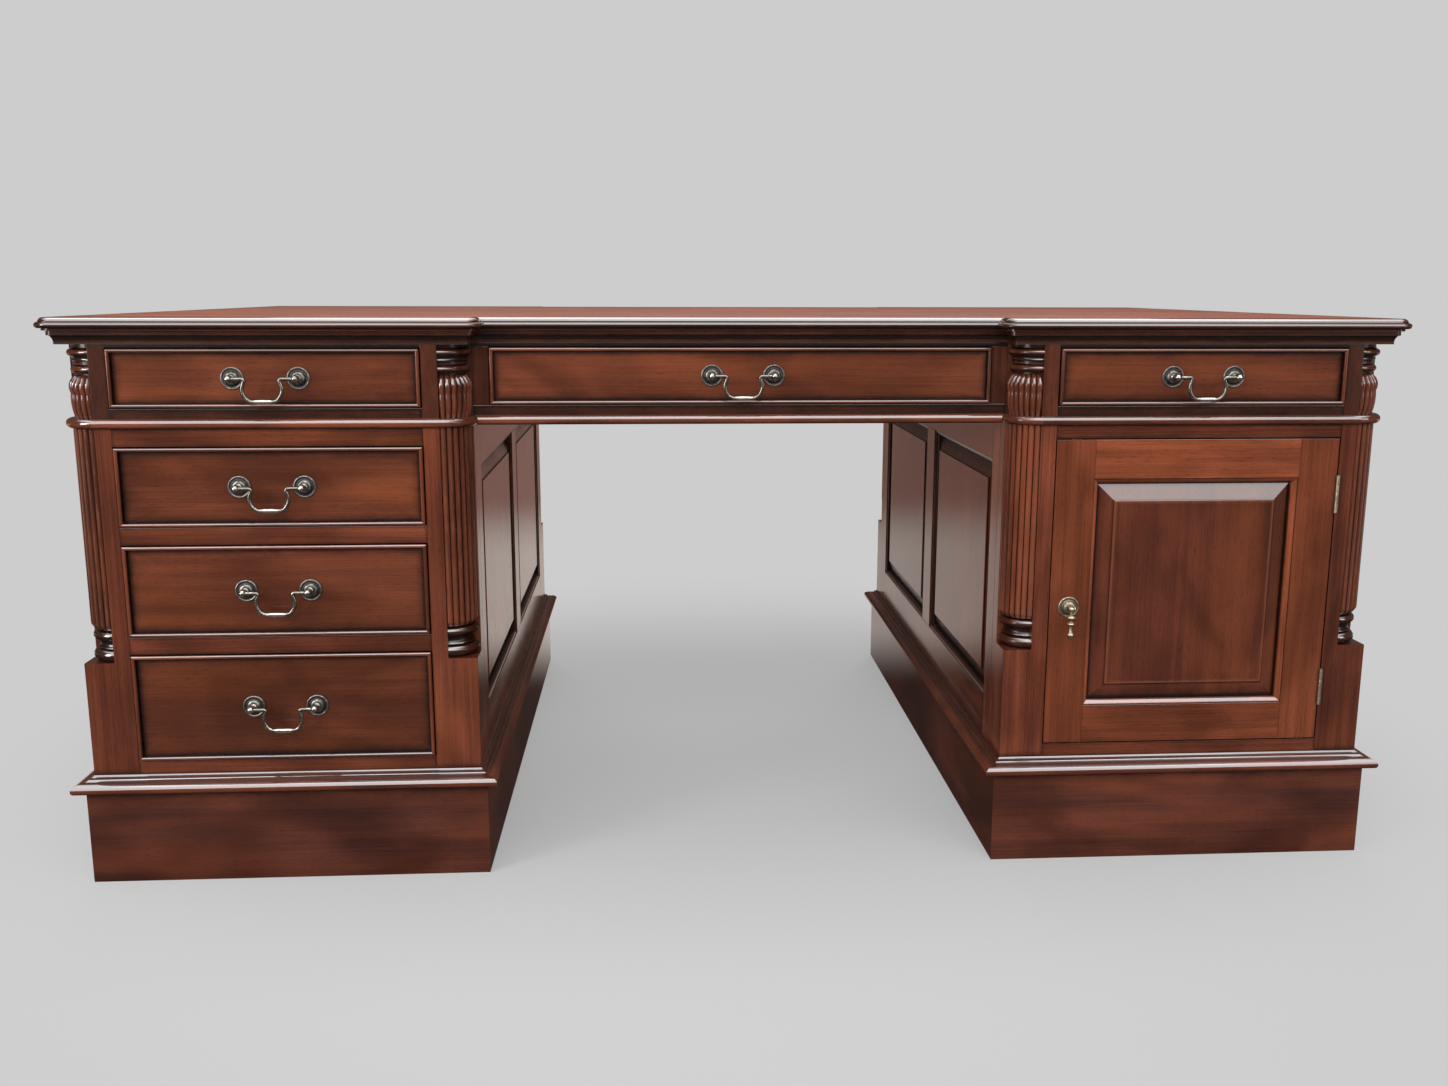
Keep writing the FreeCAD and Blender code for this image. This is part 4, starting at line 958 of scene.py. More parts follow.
@dataclass(frozen=True)
class Columns:
    """Reeded quarter columns in the notches of the corner posts, and the bead that turns round them."""

    reeds: int = 7
    reed_steps: int = 8
    reed_depth: float = 0.0026
    base_height: float = 0.043
    entry_height: float = 0.026
    entry_radius: float = 0.033
    entry_bow: float = 0.14
    entry_overrun: float = 0.002
    shaft_start: float = 0.040
    frieze_foot: float = 0.0362
    capital_height: float = 0.041
    dome_height: float = 0.024
    dome_radius: float = 0.031
    dome_bow: float = 0.20
    belly_bow: float = 0.05
    shoulder_inset: float = 0.0008
    flute_share: float = 1.25
    bead_flat: float = 0.0015
    bead_tongue: float = 0.004
    bead_heart: float = 0.002
    # Relief taken off the bases and capitals: dark glaze and painted shade.
    base_glaze_and_shade: float = 1.0
    capital_glaze_and_shade: float = 0.75
    long_tones: tuple[float, ...] = (0.70, 0.0, 1.0, 0.38)
    short_tones: tuple[float, ...] = (0.44, 0.27, 1.0, 1.0)
    base_shares: Outline = ((0.78, 0.0, 0.5), (0.78, 0.38, 0.0), (0.84, 0.42, -0.22), (0.80, 0.68, 0.5),
                            (0.80, 0.97, 0.0), (0.78, 1.0, 0.0))
    capital_shares: Outline = ((0.80, 0.0, 0.0), (0.80, 0.05, 0.5), (0.80, 0.30, 0.0), (0.84, 0.34, 0.0),
                               (0.84, 0.44, 0.0), (0.88, 0.48, -0.2), (0.90, 0.60, 0.42), (0.90, 0.84, 0.0),
                               (0.86, 0.88, 0.0), (0.86, 1.0, 0.0))

    def reeded(self, crest: float, limit: Array) -> tuple[Array, Array]:
        """Radius and relief of reeds by row and angle: groove + depth (1 - t^2)^0.75, cut off by a limit.

        Args:
            crest: Radius of the reeds' crests.
            limit: Largest radius of each row.

        Returns:
            Radius and relief arrays.
        """
        share = np.linspace(0, self.reeds, self.reeds * self.reed_steps + 1)
        t = 2 * (share - np.floor(np.minimum(share, self.reeds - 1e-9))) - 1
        swell = np.maximum(1 - t**2, 0) ** 0.75
        radius = crest - self.reed_depth + self.reed_depth * swell
        # Relief: painted shade in the grooves, wear and a painted highlight on the crests.
        relief = np.broadcast_to(1.9 * swell - 1.1, (len(limit), len(t)))
        return np.minimum(radius[None], limit[:, None]), relief

    def fluted(self, crest: Array) -> tuple[Array, Array]:
        """Radius and relief of reeds whose crests follow a radius that changes from row to row."""
        radius, relief = self.reeded(0.0, np.ones_like(crest))
        return crest[:, None] + self.flute_share * radius, np.minimum(relief, 0.55) + 0.05

    def quarter(self, shape: Shape, rows: Sequence[tuple[Array, Array, Array]],
                tones: Sequence[float]) -> None:
        """Adds a quarter column to each of a pedestal's corners: wedge rings from the axis round the radius.

        Args:
            shape: Shape that gets the columns.
            rows: Height, radius and relief arrays of the stacked parts.
            tones: Tone of each corner's column.
        """
        heights = np.concatenate([z for z, _, _ in rows])
        radius = np.concatenate([r for _, r, _ in rows])
        relief = np.concatenate([np.broadcast_to(f, r.shape) for _, r, f in rows])
        angle = np.linspace(0, math.pi / 2, radius.shape[1])
        wedge = np.stack([radius * np.cos(angle), radius * np.sin(angle)], axis=-1)
        wedge = np.concatenate([np.zeros((len(wedge), 1, 2)), wedge], axis=1)
        relief = np.concatenate([np.zeros((len(relief), 1)), relief], axis=1)
        for (x, y, into_x, into_y), tone in zip(post_corners(), tones):
            grid = np.empty(wedge.shape[:2] + (3,))
            grid[..., 0] = x + into_x * (SIZES.column - wedge[..., 0])
            grid[..., 1] = y + into_y * (SIZES.column - wedge[..., 1])
            grid[..., 2] = heights[:, None]
            shape.shell(grid, relief, Grain.ALONG_Z, tone)

    def plain(self, outline: Array, darker: float) -> tuple[Array, Array, Array]:
        """Rows of a turned part, the same all round, with its relief drawn down for dark glaze and painted
        shade.

        Args:
            outline: Rows of radius and height.
            darker: Relief taken off.

        Returns:
            Height, radius and relief arrays.
        """
        columns = self.reeds * self.reed_steps + 1
        relief = turning(outline, 0.7)[:, None] * 0.4 - darker
        return outline[:, 1], np.repeat(outline[:, :1], columns, axis=1), relief

    def build(self) -> None:
        """Builds the long and the short columns of both pedestals."""
        s = SIZES
        foot = s.block_top + self.base_height
        base = scaled(self.base_shares, s.column, self.base_height, s.block_top)
        entry = bowed([(self.entry_radius, foot, self.entry_bow),
                       (s.column + self.entry_overrun, foot + self.entry_height, 0)], 16)
        limit = np.vstack([entry, [[s.column, foot + self.shaft_start], [s.column, s.waist]]])
        long_rows = [self.plain(base, self.base_glaze_and_shade), (limit[:, 1], *self.reeded(s.column, limit[:, 0]))]
        neck = s.cornice_bottom - self.capital_height
        shoulder = neck - self.dome_height
        petal = bowed([(self.frieze_foot, s.bead_top, self.belly_bow),
                       (s.column - self.shoulder_inset, shoulder, self.dome_bow),
                       (self.dome_radius, neck, 0)], 12)
        limit = np.vstack([petal, [[self.dome_radius, neck]]])
        capital = scaled(self.capital_shares, s.column, self.capital_height, neck)
        short_rows = [(limit[:, 1], *self.fluted(limit[:, 0])), self.plain(capital, self.capital_glaze_and_shade)]
        for node, rows, tones in (("pedestal_columns", long_rows, self.long_tones),
                                  ("frieze_columns", short_rows, self.short_tones)):
            shape = Shape(node + "_dressed")
            for turned_round in (False, True):
                shape.half_turned = turned_round
                self.quarter(shape, rows, tones)
            shape.piece("carcass", CASE, node, sharp=0.75)

    def bead(self, reach: float, back: float) -> tuple[Array, Array]:
        """Profile of the waist bead, a half round on a flat stem, and its relief, highest on its brow for
        wear and a painted highlight, lowest at its foot for painted shade.

        Args:
            reach: Where the half round springs from.
            back: Back of the stem.

        Returns:
            Profile and relief.
        """
        rise = SIZES.bead_top - SIZES.waist
        ring = bowed([(back, 0, 0), (reach, 0, HALF_ROUND), (reach, rise, 0), (back, rise, 0)], 10)
        return ring, np.clip(1.0 - 2.4 * np.abs(ring[:, 1] / rise - 0.55), -0.9, 0.6)

    def beads(self) -> None:
        """Builds the half-round waist bead: quarter turns over the columns and straight lengths between."""
        s = SIZES
        straight, straight_relief = self.bead(self.bead_flat, -self.bead_tongue)
        turn, turn_relief = self.bead(s.column + self.bead_flat, self.bead_heart)
        shape = Shape("waist_beads_dressed")
        inner, outer = s.half_knee + s.column, s.outer - s.column
        angle = np.linspace(0, math.pi / 2, 13)
        for turned_round in (False, True):
            shape.half_turned = turned_round
            for x, y, into_x, into_y in post_corners():
                centre = np.array([x + into_x * s.column, y + into_y * s.column, s.waist])
                ways = np.stack([-into_x * np.cos(angle), -into_y * np.sin(angle), 0 * angle], axis=-1)
                origins = np.repeat(centre[None], len(angle), axis=0)
                shape.run(turn, origins, ways, Z_WAY, Grain.ALONG_X, turn_relief)
            for x0, x1, y in ((-outer, -inner, s.front), (inner, outer, s.front),
                              (-s.half_knee, s.half_knee, s.centre_face)):
                ends = [[x0, y, s.waist], [x1, y, s.waist]]
                shape.run(straight, ends, [-Y_WAY, -Y_WAY], Z_WAY, Grain.ALONG_X, straight_relief)
            ends = [[s.outer, s.centre_face, s.waist], [s.outer, -s.centre_face, s.waist]]
            shape.run(straight, ends, [X_WAY, X_WAY], Z_WAY, Grain.ALONG_Y, straight_relief)
        shape.piece("carcass", CASE, "waist_beads", sharp=0.9)


@dataclass(frozen=True)
class CornerPost:
    """A corner post: a square foot and, above it, the same square with its outer corner cut out."""

    radius: float = 0.0007
    margin: float = 0.004
    foot_band: float = 0.010
    brow_band: float = 0.0005
    edge_points: tuple[int, ...] = (5, 6, 10, 11)
    edge_relief: float = -0.6
    foot_relief: float = -0.8
    inner_tone: float = 0.72
    cupboard_tone: float = 0.35
    drawer_tone: float = 0.0

    def rings(self) -> tuple[list[Ends], list[Ends]]:
        """Rings of the foot and of the notched part, point for point, as distances into the post.

        Returns:
            Both rings, which differ only at the outer corner.
        """
        n, p, r, m = SIZES.column, SIZES.post, self.radius, self.margin
        q = 0.3 * r
        shared = [(p - m, 0), (p - r, 0), (p - q, q), (p, r), (p, p - r), (p - q, p - q), (p - r, p), (r, p),
                  (q, p - q), (0, p - r), (0, p - m)]
        block = ([(n, 0), (n + q, 0), (n + r, 0)] + shared
                 + [(0, n + r), (0, n + q), (0, n), (0, m), (0, r), (q, q), (r, 0), (m, 0)])
        notch = ([(n, r), (n + q, q), (n + r, 0)] + shared
                 + [(0, n + r), (q, n + q), (r, n), (n - m, n), (n - r, n), (n - q, n - q), (n, n - r),
                    (n, n - m)])
        return block, notch

    def add(self, shape: Shape, corner: Corner, bottom: float, block_top: float, top: float,
            darker: float = 0.0) -> None:
        """Adds a post: its rings carried up, with a level step where the notch starts.

        Args:
            shape: Shape that gets the post.
            corner: Corner and the ways into the post.
            bottom: Foot of the post.
            block_top: Height where the notch for the column starts.
            top: Head of the post.
            darker: Relief taken off, for glaze and painted shade.
        """
        block, notch = self.rings()
        levels = [(notch, max(block_top, bottom)), (notch, top)]
        if block_top > bottom:
            rises = (bottom, bottom + self.foot_band, block_top - self.margin, block_top - self.brow_band,
                     block_top)
            levels = [(block, z) for z in rises] + levels
        x, y, into_x, into_y = corner
        flat = np.array([ring for ring, _ in levels], float)
        heights = np.broadcast_to(np.array([[z] for _, z in levels]), flat.shape[:2])
        grid = np.stack([x + into_x * flat[..., 0], y + into_y * flat[..., 1], heights], axis=-1)
        relief = np.zeros(flat.shape[:2])
        relief[:, list(self.edge_points)] = self.edge_relief
        if block_top > bottom:
            relief[0] = np.minimum(relief[0], self.foot_relief)
        outer_tone = self.cupboard_tone if into_y > 0 else self.drawer_tone
        shape.shell(grid, relief - darker, Grain.ALONG_Z, self.inner_tone if into_x > 0 else outer_tone)


CORNER_POST = CornerPost()


@dataclass(frozen=True)
class PanelWork:
    """Raised and fielded panels, and the quarter rounds that lie round them."""

    tongue: float = 0.0067
    setback: float = 0.011
    tongue_thickness: float = 0.006
    bead_width: float = 0.008
    bead_rise: float = 0.0095
    bevel_width: float = 0.023
    bevel_rise: float = 0.0065
    field_rise: float = 0.002
    least_relief: float = -1.2

    def panel(self, shape: Shape, centre: Array, half: Ends, normal: Array, darker: float = 0.0) -> None:
        """Adds a panel: stacked rectangles from its tongue up the bevel to the field.

        Args:
            shape: Shape that gets the panel.
            centre: Middle of the opening on the frame's face.
            half: Half width and half height of the opening.
            normal: Way that the panel faces.
            darker: Relief taken off the bevel and its arris, for glaze and painted shade.
        """
        inset = self.bead_width + self.bevel_width
        foot, brow = -self.setback, -self.setback + self.bevel_rise
        field_top = brow + self.field_rise
        # Relief: painted shade at the bead's and the bevel's foot, wear and a painted highlight on the
        # field's arris.
        steps = [(-self.tongue, foot - self.tongue_thickness, 0), (-self.tongue, foot, -0.5),
                 (self.bead_width, foot, -1.1), (self.bead_width + 0.005, foot + 0.0014, -0.25),
                 (inset - 0.004, brow - 0.0011, 0.10), (inset, brow, -0.6),
                 (inset + 0.0002, field_top - 0.0006, 0.6), (inset + 0.0010, field_top, 1.3),
                 (inset + 0.0026, field_top, 1.0), (inset + 0.006, field_top, -0.25),
                 (inset + 0.016, field_top, -0.15), (inset + 0.04, field_top, 0.0)]
        steps[2:9] = [(a, b, max(relief - darker, self.least_relief)) for a, b, relief in steps[2:9]]
        shape.stacked(centre, half, steps, normal, Grain.ALONG_Z)

    def beads(self, shape: Shape, centre: Array, half: Ends, normal: Array, darker: float = 0.0) -> None:
        """Adds the four mitred quarter rounds: a ring from the panel's margin that rises to the frame.

        Args:
            shape: Shape that gets the beads.
            centre: Middle of the opening on the frame's face.
            half: Half width and half height of the opening.
            normal: Way that the panel faces.
            darker: Relief taken off, for glaze and painted shade.
        """
        foot = -self.setback
        profile = bowed([(-self.bead_width, foot, 0), (0, foot, 0),
                         (0, foot + self.bead_rise, QUARTER_ROUND)], 8)
        relief = np.clip(2.2 * (profile[:, 1] - foot) / self.bead_rise - 1.0, -1, 0.7)
        relief[1:3] = (-1.0, -0.8)
        shape.mitred(profile, face_corners(centre, *half, normal), normal, relief - darker)


PANEL_WORK = PanelWork()


@dataclass(frozen=True)
class Pedestal:
    """Frame of the right pedestal, cupboard in front and drawers behind, and its turned copy on the left."""

    side_stile: float = 0.060
    top_rail: float = 0.060
    bottom_rail: float = 0.063
    muntin: float = 0.058
    # Relief taken off the side panels' beads and bevels: glaze and painted shade.
    bead_glaze_and_shade: float = 1.1
    panel_glaze_and_shade: float = 0.6

    def side(self, frame_shape: Shape, panels: Shape, side_x: float, outward: int) -> None:
        """Adds one panelled side: stiles, rails, muntin, panel beads and panels.

        Args:
            frame_shape: Shape that gets the frame.
            panels: Shape that gets the panels.
            side_x: Place of the side's face.
            outward: Way that it faces along X.
        """
        s = SIZES
        back_x = side_x - outward * s.frame
        reach, stile = -s.rail_back, -(s.centre_face + self.side_stile)
        low, high = s.case_bottom + self.bottom_rail, s.waist - self.top_rail
        half_muntin = self.muntin / 2
        for way in (-1, 1):
            frame_shape.board((side_x, way * stile, s.case_bottom), (back_x, way * reach, s.waist),
                              Grain.ALONG_Z)
        frame_shape.board((side_x, -stile, s.case_bottom), (back_x, stile, low), Grain.ALONG_Y)
        frame_shape.board((side_x, -stile, high), (back_x, stile, s.waist), Grain.ALONG_Y)
        frame_shape.board((side_x, -half_muntin, low), (back_x, half_muntin, high), Grain.ALONG_Z)
        half = ((stile - half_muntin) / 2, (high - low) / 2)
        for way in (-1, 1):
            centre = np.array([side_x, way * (stile + half_muntin) / 2, (low + high) / 2])
            PANEL_WORK.beads(frame_shape, centre, half, outward * X_WAY, self.bead_glaze_and_shade)
            PANEL_WORK.panel(panels, centre, half, outward * X_WAY, self.panel_glaze_and_shade)

    def rail(self, shape: Shape, floor: float, head: float, way: int) -> None:
        """Adds a rail between the posts.

        Args:
            shape: Shape that gets it.
            floor: Its underside.
            head: Its upper side.
            way: -1 for the front, 1 for the back.
        """
        s = SIZES
        x0, x1 = s.opening
        shape.board((x0, way * -s.front, floor), (x1, way * -s.rail_back, head), Grain.ALONG_X)

    def build(self) -> None:
        """Builds both pedestals' frames and all eight side panels."""
        s = SIZES
        panels = Shape("side_panels_dressed")
        for name, turned_round in (("right", False), ("left", True)):
            shape = Shape(name + "_pedestal_dressed", turned_round)
            panels.half_turned = turned_round
            for corner in post_corners():
                CORNER_POST.add(shape, corner, s.case_bottom, s.block_top, s.waist)
            self.side(shape, panels, s.outer, 1)
            self.side(shape, panels, s.half_knee, -1)
            for way, spans in ((-1, ((s.case_bottom, s.bottom_floor), (s.cupboard_head, s.waist))),
                               (1, ((s.case_bottom, s.bottom_floor), (s.bottom_head, s.middle_floor),
                                    (s.middle_head, s.top_floor), (s.top_head, s.waist)))):
                for floor, head in spans:
                    self.rail(shape, floor, head, way)
            shape.piece("carcass", CASE, name + "_pedestal_frame", sharp=0.5)
        panels.piece("carcass", SIDE, "side_panels", sharp=0.18)


@dataclass(frozen=True)
class FriezeAndCase:
    """Posts, rails and stiles round the frieze drawers, and the boards inside the case."""

    board: float = 0.012
    ceiling: float = 0.008
    post_glaze_and_shade: float = 0.58

    def frieze(self) -> None:
        """Builds the frieze's frame and its end boards on both sides."""
        s = SIZES
        x0, x1 = s.opening
        shape = Shape("frieze_frame_dressed")
        for turned_round in (False, True):
            shape.half_turned = turned_round
            for corner in post_corners():
                # Frieze posts are darkened by relief: glaze and painted shade.
                CORNER_POST.add(shape, corner, s.waist, s.waist, s.cornice_top, self.post_glaze_and_shade)
            for ends, face in (((-x1, -x0), s.front), ((-s.half_knee, s.half_knee), s.centre_face),
                               ((x0, x1), s.front)):
                # Frieze rails and stiles are darkened by a low tone and by relief: glaze and painted shade.
                for floor, head in ((s.waist, s.frieze_floor), (s.frieze_head, s.cornice_top)):
                    shape.board((ends[0], face, floor), (ends[1], s.rail_back, head), Grain.ALONG_X,
                                edge=-1.0, tone=0.1, flat=-0.6)
            for way in (-1, 1):
                stile = way * (s.half_knee - s.centre_stile)
                shape.board((stile, s.centre_face, s.frieze_floor),
                            (way * s.half_knee, s.rail_back, s.frieze_head), Grain.ALONG_Z, tone=0.4,
                            flat=-0.42)
            shape.board((s.walls[1], s.rail_back, s.waist), (s.outer, -s.rail_back, s.cornice_top),
                        Grain.ALONG_Y)
        shape.piece("carcass", CASE, "frieze_frame", sharp=0.5)

    def case(self) -> None:
        """Builds the inner boards: partitions, kneehole ceiling, pedestal bottoms and tops."""
        s = SIZES
        walls, y0, half = s.walls, s.rail_back, s.partition
        shape = Shape("case_boards_dressed")
        for turned_round in (False, True):
            shape.half_turned = turned_round
            for low, high, grain in (
                ((s.half_knee, y0, s.waist), (walls[0], -y0, s.cornice_top), Grain.ALONG_Y),
                ((walls[0], -half, s.waist), (walls[1], half, s.cornice_top), Grain.ALONG_X),
                ((walls[0], y0, s.bottom_floor - self.board), (walls[1], -y0, s.bottom_floor), Grain.ALONG_X),
                ((walls[0], y0, s.waist - self.board), (walls[1], -y0, s.waist), Grain.ALONG_X),
                ((walls[0], -half, s.bottom_floor), (walls[1], half, s.waist - self.board), Grain.ALONG_Z),
            ):
                shape.board(low, high, grain)
        shape.half_turned = False
        knee, ceiling = s.half_knee, s.waist + self.ceiling
        shape.board((-knee, y0, s.waist), (knee, -y0, ceiling), Grain.ALONG_X)
        shape.board((-knee, -half, ceiling), (knee, half, s.cornice_top), Grain.ALONG_X)
        shape.piece("carcass", INNER, "case_boards", sharp=0.5)


@dataclass(frozen=True)
class Plinth:
    """Mitred plinth boards and the ogee moulding between them and the case."""

    projection: float = 0.009
    thickness: float = 0.020
    reach: float = 0.015
    bearing: float = 0.055
    nose: float = 0.005
    arris: float = 0.0012
    height: float = 0.021
    ogee_shares: Outline = ((1.0, 0.24, 0.0), (1.0, 0.38, 0.12), (0.52, 0.66, -0.10), (0.22, 0.78, 0.0),
                            (0.22, 0.87, -0.15), (0.0, 1.0, 0.0))

    def build(self) -> None:
        """Builds the boards and mouldings of both plinths."""
        s = SIZES
        x_ends = (s.half_knee - self.projection, s.outer + self.projection)
        y_ends = (s.front - self.projection, self.projection - s.front)
        r, inner = self.arris, -self.thickness
        board = np.array([(inner, 0), (-r, 0), (-0.3 * r, 0.3 * r), (0, r), (0, 0.006),
                          (0, s.plinth_top - 0.03), (0, s.plinth_top - 0.008), (0, s.plinth_top),
                          (inner, s.plinth_top)])
        # Relief: dark where the moulding sits, as glaze and painted shade; a worn arris at the foot.
        board_relief = np.array([0, -0.6, 0.3, 0.3, -0.1, 0, -0.35, -1.0, 0])
        span_out = self.reach + self.projection
        ogee = [(a * span_out - self.projection, b * self.height, bow) for a, b, bow in self.ogee_shares]
        moulding = bowed([(-self.bearing, 0, 0), (self.reach - self.nose, 0, QUARTER_ROUND)] + ogee
                         + [(-self.bearing, self.height, 0)], 6)
        # Relief: the ogee's upper part is darkened, and its top at the case gets full painted shade and no
        # painted highlight.
        relief = turning(moulding, 0.7) * 0.8 - np.where(moulding[:, 1] < 0.4 * self.height, 0.0, 0.25)
        relief[-2:] = DEEP_CREVICE
        boards, mouldings = Shape("plinth_boards_dressed"), Shape("plinth_mouldings_dressed")
        for turned_round in (False, True):
            boards.half_turned = mouldings.half_turned = turned_round
            boards.mitred(board, level_corners(x_ends, y_ends, 0.0), Z_WAY, board_relief)
            mouldings.mitred(moulding, level_corners(x_ends, y_ends, s.plinth_top), Z_WAY, relief)
        boards.piece("carcass", PLINTH, "plinth_boards", sharp=0.5)
        mouldings.piece("carcass", CASE, "plinth_mouldings", sharp=0.55)


@dataclass(frozen=True)
class Pull:
    """Swan-neck drawer pull: ringed rosettes, ball-headed posts and a bail with a swelling grip."""

    centres: float = 0.086
    rosette: float = 0.0152
    rosette_height: float = 0.005
    shank: float = 0.0025
    neck: float = 0.0029
    collar: float = 0.0046
    collar_height: float = 0.002
    knob: float = 0.0053
    standoff: float = 0.018
    front_thickness: float = 0.020
    nut: float = 0.0065
    nut_height: float = 0.004
    rod: float = 0.0027
    rod_overrun: float = 0.003
    run: float = 0.0215
    spread: float = 0.006
    drop: float = 0.030
    grip: float = 0.037
    grip_radius: float = 0.0035
    neck_share: float = 0.52
    bends: tuple[float, ...] = (0.005, 0.0085, 0.007)
    tip_steps: tuple[float, ...] = (0.0, 0.0003, 0.001, 0.002)
    tip_shares: tuple[float, ...] = (0.25, 0.7, 0.95, 1.0)
    rosette_shares: Outline = ((1.0, 0.0, 0.0), (1.0, 0.20, 0.3), (0.86, 0.42, 0.0), (0.84, 0.34, -0.1),
                               (0.66, 0.34, 0.0), (0.64, 0.44, 0.2), (0.32, 1.0, 0.0))

    def plates(self, shape: Shape, posts: Shape, middle: Array) -> None:
        """Adds two rosettes and nuts on a drawer's field, and their posts.

        Args:
            shape: Shape that gets the rosettes and nuts.
            posts: Shape that gets the ball-headed posts.
            middle: Point on the field between the posts.
        """
        rosette = scaled(self.rosette_shares, self.rosette, self.rosette_height)
        rosette = np.vstack([[[0, 0]], rosette, [[0, self.rosette_height]]])
        back = -self.front_thickness - self.nut_height
        ball = np.radians(np.linspace(-58, 90, 12))
        head = np.column_stack([self.knob * np.cos(ball), self.standoff + self.knob * np.sin(ball)])
        stem = bowed([(0, back, 0), (self.shank, back, 0), (self.shank, self.rosette_height, 0),
                      (self.collar, self.rosette_height, 0.3),
                      (self.collar, self.rosette_height + self.collar_height, -0.2),
                      (self.neck, self.standoff - self.knob, 0)], 6)
        nut = np.array([(0, back), (self.nut, back), (self.nut, -self.front_thickness),
                        (0, -self.front_thickness)])
        for way in (-1, 1):
            base = middle + way * self.centres / 2 * X_WAY
            shape.turned(rosette, base, -Y_WAY, 36)
            posts.turned(np.vstack([stem, head]), base, -Y_WAY, 22)
            shape.turned(nut, base, -Y_WAY, 6)

    def bail(self, shape: Shape, pivot: Array) -> None:
        """Adds the bail: a rounded path from post to post, its corners parabolas between straight lengths.

        Args:
            shape: Shape that gets it.
            pivot: Point between the posts on the axis that the bail swings on.
        """
        shoulder = self.centres / 2 - self.run
        half = np.array([(-self.centres / 2 - self.rod_overrun, 0), (-shoulder, 0),
                         (-shoulder - self.spread, -self.drop * self.neck_share),
                         (-self.grip / 2, -self.drop)])
        knots = np.vstack([half, half[::-1] * np.array([-1, 1])])
        before, after = knots[:-2] - knots[1:-1], knots[2:] - knots[1:-1]
        reach = np.array(self.bends + self.bends[::-1])[:, None]
        first = knots[1:-1] + before / np.linalg.norm(before, axis=1, keepdims=True) * reach
        last = knots[1:-1] + after / np.linalg.norm(after, axis=1, keepdims=True) * reach
        t = np.linspace(0, 1, 9)[None, :, None]
        bends = (1 - t) ** 2 * first[:, None] + 2 * t * (1 - t) * knots[1:-1, None] + t**2 * last[:, None]
        tip = knots[0] + np.outer(self.tip_steps, (1, 0))
        flat = np.vstack([tip, bends[:3].reshape(-1, 2)])
        level = np.linspace(flat[-1], flat[-1] * np.array([-1, 1]), 17)[1:-1]
        flat = np.vstack([flat, level, flat[::-1] * np.array([-1, 1])])
        path = pivot + flat[:, :1] * X_WAY + flat[:, 1:] * Z_WAY
        swell = np.exp(-((flat[:, 0] / (0.32 * self.grip)) ** 4)) * (flat[:, 1] < -0.9 * self.drop)
        radius = self.rod + (self.grip_radius - self.rod) * swell
        radius[:4] *= self.tip_shares
        radius[-4:] *= self.tip_shares[::-1]
        shape.tube(path, radius, 0.9 * swell)


PULL = Pull()


@dataclass(frozen=True)
class DrawerSpace:
    """Opening that a drawer of the front fills."""

    name: str
    x_ends: Ends
    floor: float
    head: float
    face: float
    tone: float = 1.0

    def middle(self, recess: float = 0.0) -> Array:
        """Middle of the opening, so far behind its face."""
        return np.array([sum(self.x_ends) / 2, self.face + recess, (self.floor + self.head) / 2])

    def half(self, gap: float) -> Ends:
        """Half width and half height of the opening, less a gap all round."""
        return (self.x_ends[1] - self.x_ends[0]) / 2 - gap, (self.head - self.floor) / 2 - gap


